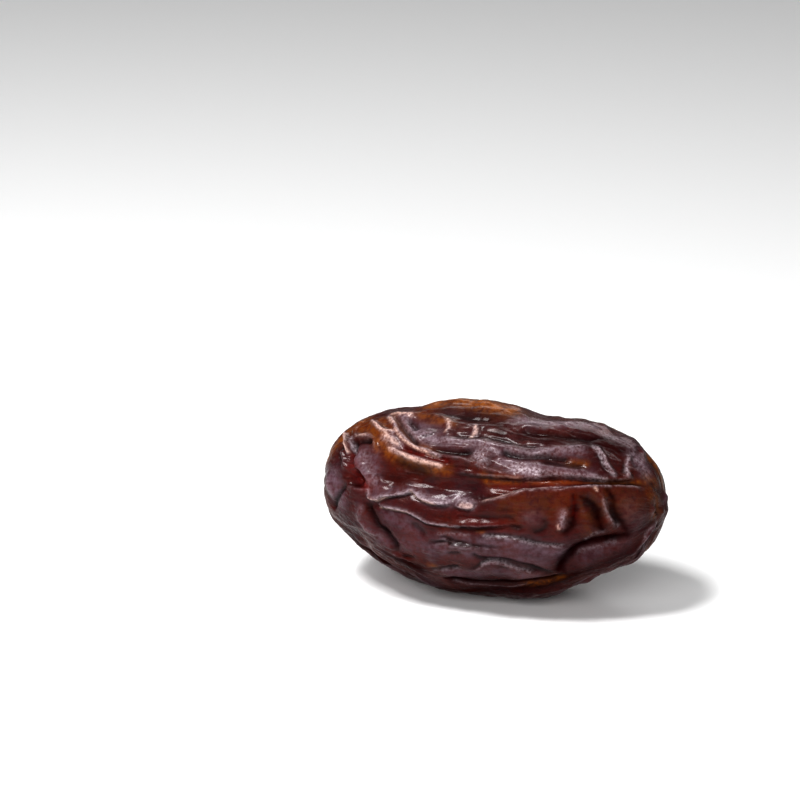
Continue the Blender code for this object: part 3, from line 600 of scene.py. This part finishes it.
# Fine wrinkles, from coarse to fine: height, length along the date and across it, and how much lower
# they are on the front, which has its own folds
WRINKLES = (
    (0.26 * MM, 6.5 * MM, 2.3 * MM, 0.55),
    (0.14 * MM, 3.2 * MM, 0.9 * MM, 0.3),
    (0.06 * MM, 1.1 * MM, 0.55 * MM, 0.0),
)
WRINKLE_SWIRL = 0.7  # how far wrinkles swirl, and over what distance, against their own length
SWIRL_LENGTH = 2
WRINKLE_CREST = 0.45  # height of a wrinkle's sharp crest, and how steeply its sides fall
WRINKLE_FALL = 2.2


def barrel(polar, around):
    """Points of the bare barrel, as an array with a last axis of X, Y, Z."""
    along, across = -np.cos(polar), np.abs(np.sin(polar))
    grow = (np.abs(along) ** BLUNTNESS + across**BLUNTNESS) ** (-1 / BLUNTNESS)
    along, across = along * grow, across * grow
    up = np.cos(around)
    half_height = np.where(up > 0, CROWN, BELLY)
    bend = np.where(along < 0, STEM_LIFT, TIP_LIFT) * along**2 + TILT * along
    x = HALF_LENGTH * along
    y = -HALF_WIDTH * across * np.sin(around)
    z = half_height * across * up + bend + BELLY - REST_FLAT
    return np.stack([x, y, z], -1)


def barrel_normals(polar, around):
    """Outward unit normals of the bare barrel."""
    step = 1e-3
    safe = np.clip(polar, 2 * step, math.pi - 2 * step)
    along = barrel(safe + step, around) - barrel(safe - step, around)
    round_about = barrel(safe, around + step) - barrel(safe, around - step)
    normals = np.cross(round_about, along)
    return normals / np.linalg.norm(normals, axis=-1, keepdims=True)


def view_axes():
    """The camera's directions: to its right, up, and back from what it sees."""
    turn, rise = CAMERA_TURN, CAMERA_RISE
    back = np.array([math.sin(turn) * math.cos(rise), -math.cos(turn) * math.cos(rise), math.sin(rise)])
    right = np.array([math.cos(turn), math.sin(turn), 0])
    return right, np.cross(back, right), back


def shown_at(places):
    """The pixels that show (polar, around) places in degrees, on the bare barrel."""
    offset = barrel(*np.radians(places).T) - np.array(AIM)
    right, up, back = view_axes()
    scale = LENS / SENSOR * PHOTO_SIZE / (CAMERA_DISTANCE - offset @ back)
    across = scale * (offset @ right + AIM_OFF_RIGHT)
    above = scale * (offset @ up + AIM_OFF_UP)
    return np.stack([PHOTO_SIZE / 2 + across, PHOTO_SIZE / 2 - above], -1)


def places_in_view():
    """Places in degrees all over the side of the bare barrel that the camera sees."""
    polar, around = (np.arange(*ends, START_SPACING) for ends in (START_POLAR, START_AROUND))
    polar, around = np.meshgrid(polar, around)
    places = np.stack([polar.ravel(), around.ravel()], -1)
    facing = barrel_normals(*np.radians(places).T) @ view_axes()[2]
    return places[facing > LEAST_FACING]


def on_barrel(pixels):
    """The (polar, around) places in degrees that the photograph shows at some pixels."""
    pixels = np.array(pixels, float)
    starts = places_in_view()
    apart = np.linalg.norm(shown_at(starts) - pixels[:, None], axis=2)
    places = starts[apart.argmin(axis=1)]
    for _ in range(SOLVER_STEPS):
        miss = shown_at(places) - pixels
        nudged = [shown_at(places + nudge) - shown_at(places - nudge) for nudge in NUDGE * np.eye(2)]
        slopes = np.stack(nudged, 1) / (2 * NUDGE)
        square = slopes @ slopes.transpose(0, 2, 1) + STIFFNESS * np.eye(2)
        steps = np.linalg.solve(square, slopes @ miss[:, :, None])[:, :, 0]
        places = places - np.clip(steps, -LONGEST_STEP, LONGEST_STEP)
    return places


def seen(marks):
    """Folds or patches whose paths of pixels have become paths of (polar, around) places."""
    return [(*sizes, on_barrel(pixels)) for *sizes, pixels in marks]


def smooth_path(places, spacing):
    """A curve through the given (polar, around) places, as angles in radians about spacing apart."""
    knots = np.radians(np.array(places, float))
    padded = np.vstack([2 * knots[0] - knots[1], knots, 2 * knots[-1] - knots[-2]])
    pieces = []
    for a, b, c, d in zip(padded, padded[1:], padded[2:], padded[3:]):
        span = np.linalg.norm(barrel(*b) - barrel(*c))
        t = np.arange(0, 1, spacing / max(span, spacing))[:, None]
        bend, twist = 2 * a - 5 * b + 4 * c - d, 3 * b - a - 3 * c + d
        pieces.append(0.5 * (2 * b + (c - a) * t + bend * t**2 + twist * t**3))
    return np.vstack([*pieces, knots[-1:]])


class Path:
    """A path over the barrel, which measures how far places on the skin lie from it."""

    def __init__(self, places):
        angles = smooth_path(places, PATH_SPACING)
        self.line = barrel(angles[:, 0], angles[:, 1])
        steps = np.gradient(self.line, axis=0)
        self.half_step = np.linalg.norm(steps, axis=1) / 2
        self.tangents = steps / (2 * self.half_step[:, None])
        self.sides = np.cross(barrel_normals(angles[:, 0], angles[:, 1]), self.tangents)
        hops = np.linalg.norm(np.diff(self.line, axis=0), axis=1)
        self.run = np.concatenate([[0], np.cumsum(hops)])

    def near(self, points, margin):
        """Which points may lie within a margin of the path."""
        low = self.line.min(0) - margin
        high = self.line.max(0) + margin
        return np.flatnonzero(np.all((points > low) & (points < high), axis=1))

    def measure(self, points):
        """Signed distance from the path, distance along it from its nearer end, and the way across it."""
        square = np.sum(self.line**2, axis=1) - 2 * points @ self.line.T
        nearest = square.argmin(axis=1)
        offset = points - self.line[nearest]
        forward = np.sum(offset * self.tangents[nearest], axis=1)
        forward = np.clip(forward, -self.half_step[nearest], self.half_step[nearest])
        offset = offset - forward[:, None] * self.tangents[nearest]
        distance = np.linalg.norm(offset, axis=1)
        side = np.where(np.sum(offset * self.sides[nearest], axis=1) < 0, -1.0, 1.0)
        run = self.run[nearest] + forward
        return distance * side, np.minimum(run, self.run[-1] - run), self.sides[nearest]


def ease(x):
    """0 below 0, 1 above 1, and smooth in between."""
    x = np.clip(x, 0, 1)
    return x * x * (3 - 2 * x)


def hump(distance, width):
    """1 at distance 0, falling smoothly to nothing past about twice the width."""
    return np.exp(-((distance / width) ** 2))


def marks_of(kind, offset, reach, wall):
    """How strong a fold's painted groove shade and crest highlight are, at a signed distance from its
    path.
    """
    none = np.zeros_like(offset)
    if kind in ("swell", "dip"):
        return none, none
    # a ridge gets a painted highlight along its crest
    if kind == "ridge":
        strength, width = RIDGE_HIGHLIGHT
        return none, strength * hump(offset, width * reach)
    # a crease or furrow gets painted shade along it
    if kind in ("crease", "furrow"):
        strength, width = CREASE_SHADE if kind == "crease" else FURROW_SHADE
        return strength * hump(offset, width * reach), none
    # a ledge or lip gets painted shade in the groove below its wall and a painted highlight on its rim
    strength, width = WALL_SHADE
    groove = strength * hump(offset + wall / 2, width * reach)
    strength, width = LIP_HIGHLIGHT if kind == "lip" else LEDGE_HIGHLIGHT
    return groove, strength * hump(offset - wall / 2, width * wall)


def profile(kind, offset, reach, crest, wall):
    """Height of a fold of height 1 at a signed distance from its path, positive on the left."""
    away = np.sqrt(offset**2 + crest**2) - crest
    if kind == "swell":
        return hump(offset, reach)
    if kind in ("dip", "furrow"):
        return -hump(offset, reach)
    if kind == "ridge":
        return np.exp(-away / (SHARP_FALL * reach))
    if kind == "crease":
        return -np.exp(-away / (SHARP_FALL * reach))
    raised = ease(0.5 + offset / wall)
    rim = RIM_HEIGHT * hump(offset - wall / 2, RIM_WIDTH * wall)
    plate, groove = PLATE_AND_GROOVE[kind]
    plate = plate * raised * np.exp(-away / reach)
    return plate + rim - groove * (1 - raised) * np.exp(-away / (GROOVE_FALL * reach))


def lay_folds(folds, points, crest):
    """Sum of the folds' heights over points on the barrel, how far lips lean out, and painted shade and
    highlight.
    """
    heights = np.zeros(len(points))
    lean = np.zeros_like(points)
    groove = np.zeros(len(points))
    edge = np.zeros(len(points))
    uneven = 1 + UNEVENNESS * noise_values(points, UNEVEN_LENGTH)
    warped = points + WANDER * noise_vectors(points, WANDER_LENGTH)
    warped += FINE_WANDER * noise_vectors(points, FINE_WANDER_LENGTH)
    for kind, height, reach, places in folds:
        reach = reach * MM
        path = Path(places)
        near = path.near(warped, FOLD_SPAN * reach)
        offset, from_ends, way = path.measure(warped[near])
        fade = ease(from_ends / max(END_FADE_SHARE * reach, END_FADE) + END_SHARE)
        fade *= ease((FOLD_SPAN * reach - np.abs(offset)) / reach) * uneven[near]
        wall = 2 * crest + WALL_SLOPE * height * MM
        # painted shade in grooves, and painted highlights on crests and rims
        dark, pale = marks_of(kind, offset, reach, wall)
        strength = fade * min(1, height / FULL_MARK)
        groove[near] = np.maximum(groove[near], strength * dark)
        edge[near] = np.maximum(edge[near], strength * pale)
        fade *= height * MM
        heights[near] += fade * profile(kind, offset, reach, crest, wall)
        if kind == "lip":
            push = LIP_LEAN * fade * hump(offset - wall / 2, wall)
            lean[near] -= push[:, None] * way
    return heights, lean, groove, edge


def noise_values(points, length):
    """Smooth noise between about -1 and 1, whose lumps are about the given length apart."""
    return np.array([noise.noise(Vector(p)) for p in points / length])


def noise_vectors(points, length):
    """The same, with a smooth noise for each of X, Y and Z."""
    return np.array([noise.noise_vector(Vector(p)) for p in points / length])


def patches(marks, points):
    """How strong patches of colour are at each point, 0 where there is none."""
    total = np.zeros(len(points))
    for strength, reach, places in marks:
        path = Path(places)
        near = path.near(points, PATCH_SPAN * reach * MM)
        offset = path.measure(points[near])[0]
        total[near] = np.maximum(total[near], strength * hump(offset, reach * MM))
    return total


def drawn_folds():
    """Folds for the back and the underside, laid out in rows by a rule with a seeded draw."""
    draw = random.Random(SEED)
    folds = []
    for row in range(HIDDEN_ROWS):
        middle = HIDDEN_FROM + (HIDDEN_TO - HIDDEN_FROM) * (row + 0.5) / HIDDEN_ROWS
        start = draw.uniform(*ROW_START)
        while start < ROW_LAST_START:
            end = min(start + draw.uniform(*HIDDEN_LENGTH), ROW_END)
            count = max(3, round((end - start) / KNOT_SPACING))
            drift = draw.uniform(-HIDDEN_DRIFT, HIDDEN_DRIFT)
            places = []
            for i in range(count):
                share = i / (count - 1)
                wander = draw.uniform(-HIDDEN_WANDER, HIDDEN_WANDER)
                places.append((start + (end - start) * share, middle + drift * (share - 0.5) + wander))
            kind = draw.choice(HIDDEN_KINDS)
            reach = draw.uniform(*(HIDDEN_DIP_REACH if kind == "dip" else HIDDEN_REACH))
            folds.append((kind, draw.uniform(*HIDDEN_HEIGHT), reach, places))
            start = end + draw.uniform(*ROW_GAP)
    return folds


def drawn_patches(seed, count, strength, reach):
    """Patches for the back, of about the given strength and reach."""
    draw = random.Random(seed)
    found = []
    for _ in range(count):
        start = draw.uniform(*PATCH_START)
        end = min(start + draw.uniform(*PATCH_LENGTH), PATCH_END)
        around = draw.uniform(PATCHES_FROM, HIDDEN_TO)
        bent = around + draw.uniform(-PATCH_BEND, PATCH_BEND)
        drifted = around + draw.uniform(-PATCH_DRIFT, PATCH_DRIFT)
        places = ((start, around), ((start + end) / 2, bent), (end, drifted))
        own_strength = strength * draw.uniform(*PATCH_STRENGTH_SHARE)
        found.append((own_strength, reach * draw.uniform(*PATCH_REACH_SHARE), places))
    return found


def end_puckers():
    """Short creases that run out from the two ends of the date."""
    draw = random.Random(SEED + 1)
    folds = []
    for near_end, far_end, height in PUCKERS:
        for i in range(PUCKER_COUNT):
            around = 360 * (i + draw.uniform(-PUCKER_STRAY, PUCKER_STRAY)) / PUCKER_COUNT
            reach_out = near_end + (far_end - near_end) * draw.uniform(*PUCKER_LENGTH_SHARE)
            middle = (near_end + reach_out) / 2
            bent = around + draw.uniform(-PUCKER_BEND, PUCKER_BEND)
            places = ((near_end, around), (middle, bent), (reach_out, around))
            folds.append(("crease", height * draw.uniform(*PUCKER_HEIGHT_SHARE), PUCKER_REACH, places))
    return folds


def wrinkle_heights(polar, around, height, along, across, front_calm):
    """Sharp-crested wrinkles, stretched along the date and fading at its ends."""
    run = HALF_LENGTH * polar / along
    radius = HALF_WIDTH / across
    places = np.stack([run, radius * np.cos(around), radius * np.sin(around)], -1)
    places += WRINKLE_SWIRL * noise_vectors(places, SWIRL_LENGTH)
    calm = 1 - front_calm * ease(np.cos(around - FRONT))
    crests = WRINKLE_CREST - WRINKLE_FALL * np.abs(noise_values(places, 1))
    return height * calm * np.sin(polar) * crests


def end_heights(points):
    """The stem scar's hollow at one end and the blossom tip's point at the other."""
    stem, tip = barrel(np.array([0.0, math.pi]), np.zeros(2))
    from_stem = np.linalg.norm(points - stem, axis=1)
    from_tip = np.linalg.norm(points - tip, axis=1)
    return TIP_HEIGHT * hump(from_tip, TIP_REACH) - STEM_SCAR_DEPTH * hump(from_stem, STEM_SCAR_REACH)


def blob_heights(points):
    """The round dents and bumps."""
    heights = np.zeros(len(points))
    for height, radius, pixel in BLOBS:
        centre = barrel(*np.radians(on_barrel([pixel])[0]))
        square = np.sum((points - centre) ** 2, axis=1)
        heights += height * MM * np.exp(-square / (radius * MM) ** 2)
    return heights


def skin(polar, around):
    """Points of the finished skin, its barrel points, and its folds' painted groove shade and crest
    highlights.
    """
    bare = barrel(polar, around)
    folds = (*BROAD_FORMS, *seen(FRONT_FOLDS), *drawn_folds(), *end_puckers())
    heights, lean, groove, edge = lay_folds(folds, bare, FOLD_ROUNDNESS)
    heights += blob_heights(bare) + end_heights(bare)
    for wrinkles in WRINKLES:
        heights += wrinkle_heights(polar, around, *wrinkles)
    points = bare + heights[:, None] * barrel_normals(polar, around) + lean
    points[:, 2] = np.maximum(points[:, 2], 0)
    return points, bare, groove, edge


# Skin colours, matched to the photograph
RED_BROWN = "#481309"
PURPLE_BROWN = "#391115"
# deep red, also used as painted shade in grooves, hollows and underneath
DEEP_RED = "#140102"
FLESH_RED = "#640f05"
BLOOM_GREY = "#6a545e"
AMBER_BROWN = "#8a4e0c"
# the silvery colour of painted sheen and highlights on crests and rims
SILVER_SHEEN = "#ab9da3"
# the peach colour of painted highlights on the sharpest crests
PEACH_HIGHLIGHT = "#ceada0"

# The paper that the date lies on, in metres, and the room
PAPER_WHITE = (0.9, 0.9, 0.9, 1.0)  # the share of the light that it throws back
PAPER_ROUGHNESS = 0.6
PAPER_HALF_WIDTH = 3.0
ROOM_WHITE = "#ffffff"
ROOM_STRENGTH = 0.25

# Softboxes: name, place, width and depth in metres, power in watts, whether it lights surfaces, and
# whether it shows in their gloss
SOFTBOXES = (
    ("key_softbox", (-0.15, -0.2, 0.5), 0.13, 0.13, 2.8, True, True),
    ("front_softbox", (0.05, -0.6, 0.32), 0.5, 0.4, 3.6, True, False),
    ("back_softbox", (0.0, 0.36, 0.4), 0.5, 0.22, 1.9, False, True),
)

# Exposure in stops, and a gamma that deepens the dark tones as the photograph has them
EXPOSURE = 0.15
GAMMA = 0.76

# The patches that the photograph shows, by the names of the marks that the skin's material reads
# Among them are painted shade, a painted silvery sheen and painted peach highlights.
PAINTED = {"amber": AMBER, "red": RED, "dark": SHADE_PATCHES, "painted_sheen": SHEEN_PATCHES, "painted_highlight": HIGHLIGHT_PATCHES, "bloom": BLOOM}


def linear(code):
    """A linear colour from an sRGB hex code."""
    parts = [int(code[i : i + 2], 16) / 255 for i in (1, 3, 5)]
    return (*(c / 12.92 if c <= 0.04045 else ((c + 0.055) / 1.055) ** 2.4 for c in parts), 1.0)


def add_node(material, kind, settings=(), links=()):
    """Add a node to a material, with settings for its properties or inputs, and links into its inputs."""
    tree = material.node_tree
    node = tree.nodes.new(kind)
    for name, value in dict(settings).items():
        if isinstance(name, str) and hasattr(node, name):
            setattr(node, name, value)
        else:
            node.inputs[name].default_value = value
    for name, source in dict(links).items():
        tree.links.new(source, node.inputs[name])
    return node


def date_skin():
    """Dried date skin: a thin waxy skin, tight over dark soft flesh.

    Its red-brown is specked and streaked lengthwise, turns amber where the skin has lifted and red where
    flesh shows through, and is dulled by a lilac-grey bloom on plates. Shade is painted in as deep red in
    grooves and creases, and as near-black with no gloss in hollows and underneath. Highlights are painted
    in as a silvery sheen on crests and rims, and as pale peach on the sharpest crests. Its thin coat of
    wax gives small soft highlights, broken up by fine bumps.
    """
    material = bpy.data.materials.new("dried_date_skin")
    material.use_nodes = True
    links = material.node_tree.links
    shader = material.node_tree.nodes["Principled BSDF"]
    place = add_node(material, "ShaderNodeTexCoord").outputs["Object"]
    marks = {}
    for name in ("groove", "edge", *PAINTED):
        marks[name] = add_node(material, "ShaderNodeAttribute", {"attribute_name": name}).outputs["Fac"]

    def mottle(size, detail=3.0, where=place):
        """A noise whose lumps are about the given size."""
        settings = {"Scale": 1 / size, "Detail": detail}
        return add_node(material, "ShaderNodeTexNoise", settings, {"Vector": where}).outputs["Fac"]

    def ramp(source, low, high, to_low=0.0, to_high=1.0):
        """A value that goes from to_low to to_high as its source goes from low to high."""
        settings = {"From Min": low, "From Max": high, "To Min": to_low, "To Max": to_high}
        return add_node(material, "ShaderNodeMapRange", settings, {"Value": source}).outputs["Result"]

    def times(first, second):
        """One value times another, or times a number."""
        node = add_node(material, "ShaderNodeMath", {"operation": "MULTIPLY"})
        links.new(first, node.inputs[0])
        if isinstance(second, float):
            node.inputs[1].default_value = second
        else:
            links.new(second, node.inputs[1])
        return node.outputs[0]

    def blend(share, under, over):
        """A share of one colour laid over another, each a hex code or a node's output."""
        node = add_node(material, "ShaderNodeMix", {"data_type": "RGBA"})
        links.new(share, node.inputs["Factor"])
        # a Mix node's sockets for colours come after those for numbers and vectors
        for socket, colour in ((node.inputs[6], under), (node.inputs[7], over)):
            if isinstance(colour, str):
                socket.default_value = linear(colour)
            else:
                links.new(colour, socket)
        return node.outputs[2]

    # patterns by the size of their lumps, the streaks stretched to five times that along the date
    patchy = mottle(4 * MM)
    fine = mottle(0.7 * MM, 6.0)
    crumbs = mottle(0.35 * MM, 5.0)
    speckle = mottle(0.3 * MM, 4.0)
    drawn_out = add_node(material, "ShaderNodeMapping", {"Scale": (0.2, 1, 1)}, {"Vector": place})
    streaks = mottle(0.55 * MM, 3.0, drawn_out.outputs["Vector"])
    # the bare skin, then each mark on it, most of them broken up by a pattern
    colour = blend(ramp(patchy, 0.35, 0.65), RED_BROWN, PURPLE_BROWN)
    colour = blend(times(ramp(fine, 0.5, 0.75), 0.5), colour, DEEP_RED)
    colour = blend(times(ramp(streaks, 0.52, 0.72), 0.45), colour, DEEP_RED)
    colour = blend(times(marks["bloom"], ramp(fine, 0.35, 0.65, 0.25, 0.75)), colour, BLOOM_GREY)
    colour = blend(times(marks["amber"], ramp(fine, 0.35, 0.6, 0.3, 1.0)), colour, AMBER_BROWN)
    # painted shade, nearly black, in hollows, deep creases and underneath
    colour = blend(times(marks["dark"], ramp(fine, 0.3, 0.65, 1.0, 0.6)), colour, DEEP_RED)
    # painted shade in the folds' grooves and creases
    colour = blend(times(marks["groove"], 0.92), colour, DEEP_RED)
    colour = blend(times(marks["red"], ramp(fine, 0.35, 0.6, 0.3, 0.9)), colour, FLESH_RED)
    # painted highlights: silvery on crests and rims, a silvery sheen on listed patches, and pale peach on
    # the sharpest crests
    colour = blend(times(marks["edge"], ramp(fine, 0.4, 0.62, 0.05, 0.45)), colour, SILVER_SHEEN)
    colour = blend(times(marks["painted_sheen"], ramp(crumbs, 0.36, 0.66, 0.12, 0.75)), colour, SILVER_SHEEN)
    colour = blend(times(marks["painted_highlight"], ramp(crumbs, 0.34, 0.57, 0.25, 0.9)), colour, PEACH_HIGHLIGHT)
    links.new(colour, shader.inputs["Base Color"])
    # the gloss of wax, with none where shade is painted nearly black
    links.new(ramp(fine, 0.35, 0.65, 0.3, 0.6), shader.inputs["Roughness"])
    shader.inputs["IOR"].default_value = 1.45
    links.new(ramp(marks["dark"], 0.0, 0.9, 0.12, 0.0), shader.inputs["Specular IOR Level"])
    links.new(ramp(marks["dark"], 0.0, 0.9, 0.25, 0.0), shader.inputs["Coat Weight"])
    shader.inputs["Coat Roughness"].default_value = 0.19
    # bumps finer than the folds, each laid on the one before: pattern, strength and millimetres deep
    normal = {}
    for pattern, strength, depth in ((fine, 1.0, 0.16), (streaks, 0.9, 0.14), (speckle, 0.8, 0.04)):
        settings = {"Strength": strength, "Distance": depth * MM}
        bump = add_node(material, "ShaderNodeBump", settings, {"Height": pattern, **normal})
        normal = {"Normal": bump.outputs["Normal"]}
    links.new(normal["Normal"], shader.inputs["Normal"])
    return material


def make_date():
    """The date as one closed mesh, made from a sphere whose poles are the fruit's two ends.

    Also returns how far it was moved to bring it over the origin.
    """
    noise.seed_set(NOISE_SEED)
    bm = bmesh.new()
    poles_along_x = Matrix.Rotation(math.pi / 2, 4, "Y")
    bmesh.ops.create_uvsphere(bm, u_segments=MERIDIANS, v_segments=RINGS, radius=1, matrix=poles_along_x)
    unit = np.array([v.co for v in bm.verts], float)
    polar = np.arccos(np.clip(-unit[:, 0], -1, 1))
    around = np.arctan2(-unit[:, 1], unit[:, 2])
    polar = polar + RING_CROWDING / 4 * np.sin(4 * polar)
    around = around - FRONT_CROWDING * np.sin(around - FRONT)
    points, bare, groove, edge = skin(polar, around)
    middle = (points.min(0) + points.max(0)) / 2
    middle[2] = 0
    for vertex, point in zip(bm.verts, points - middle):
        vertex.co = point
    bmesh.ops.smooth_vert(
        bm, verts=bm.verts, factor=SMOOTHING, use_axis_x=True, use_axis_y=True, use_axis_z=True
    )
    bmesh.ops.recalc_face_normals(bm, faces=bm.faces)
    mesh = bpy.data.meshes.new("date_skin")
    bm.to_mesh(mesh)
    bm.free()
    mesh.shade_smooth()
    # painted shade in the folds' grooves and painted highlights on their crests and rims, then the
    # patches of colour
    marks = {"groove": groove, "edge": edge}
    for name, painted in PAINTED.items():
        drawn = drawn_patches(*BACK_PATCHES[name]) if name in BACK_PATCHES else []
        marks[name] = patches(seen(painted) + drawn, bare)
    for name, values in marks.items():
        mesh.attributes.new(name, "FLOAT", "POINT").data.foreach_set("value", values)
    date = bpy.data.objects.new("date_skin", mesh)
    bpy.context.scene.collection.objects.link(date)
    mesh.materials.append(date_skin())
    return date, Vector(middle)


def white_paper():
    """Matt white paper, which throws light back evenly and has hardly any gloss."""
    material = bpy.data.materials.new("white_paper")
    material.use_nodes = True
    shader = material.node_tree.nodes["Principled BSDF"]
    shader.inputs["Base Color"].default_value = PAPER_WHITE
    shader.inputs["Roughness"].default_value = PAPER_ROUGHNESS
    return material


def make_floor():
    """A wide sheet of paper."""
    bm = bmesh.new()
    bmesh.ops.create_grid(bm, x_segments=1, y_segments=1, size=PAPER_HALF_WIDTH)
    mesh = bpy.data.meshes.new("floor")
    bm.to_mesh(mesh)
    bm.free()
    floor = bpy.data.objects.new("floor", mesh)
    bpy.context.scene.collection.objects.link(floor)
    mesh.materials.append(white_paper())


def make_softbox(name, place, width, depth, power, diffuse, gloss):
    """A soft rectangular light turned to the date."""
    lamp = bpy.data.lights.new(name, "AREA")
    lamp.shape = "RECTANGLE"
    lamp.size = width
    lamp.size_y = depth
    lamp.energy = power
    softbox = bpy.data.objects.new(name, lamp)
    softbox.location = place
    softbox.rotation_euler = (AIM - Vector(place)).to_track_quat("-Z", "Y").to_euler()
    softbox.visible_diffuse = diffuse
    softbox.visible_glossy = gloss
    bpy.context.scene.collection.objects.link(softbox)


def make_lights():
    """The pale room and its softboxes."""
    world = bpy.data.worlds.new("pale_room")
    bpy.context.scene.world = world
    world.use_nodes = True
    background = world.node_tree.nodes["Background"]
    background.inputs["Color"].default_value = linear(ROOM_WHITE)
    background.inputs["Strength"].default_value = ROOM_STRENGTH
    for softbox in SOFTBOXES:
        make_softbox(*softbox)


def make_camera(middle):
    """A long lens at the photograph's turn and rise, aimed beside the date as the photograph is."""
    right, up, back = (Vector(axis) for axis in view_axes())
    lens = bpy.data.cameras.new("camera")
    lens.sensor_width = SENSOR
    lens.lens = LENS
    camera = bpy.data.objects.new("camera", lens)
    camera.location = AIM - middle - AIM_OFF_RIGHT * right - AIM_OFF_UP * up + CAMERA_DISTANCE * back
    camera.rotation_euler = (-back).to_track_quat("-Z", "Y").to_euler()
    bpy.context.scene.collection.objects.link(camera)
    bpy.context.scene.camera = camera


def set_exposure():
    """Brightness and contrast near the photograph's, on a plain display."""
    view = bpy.context.scene.view_settings
    view.view_transform = "Standard"
    view.exposure = EXPOSURE
    view.gamma = GAMMA


date, middle = make_date()
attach(date, "root")
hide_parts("date")
make_floor()
make_lights()
make_camera(middle)
set_exposure()
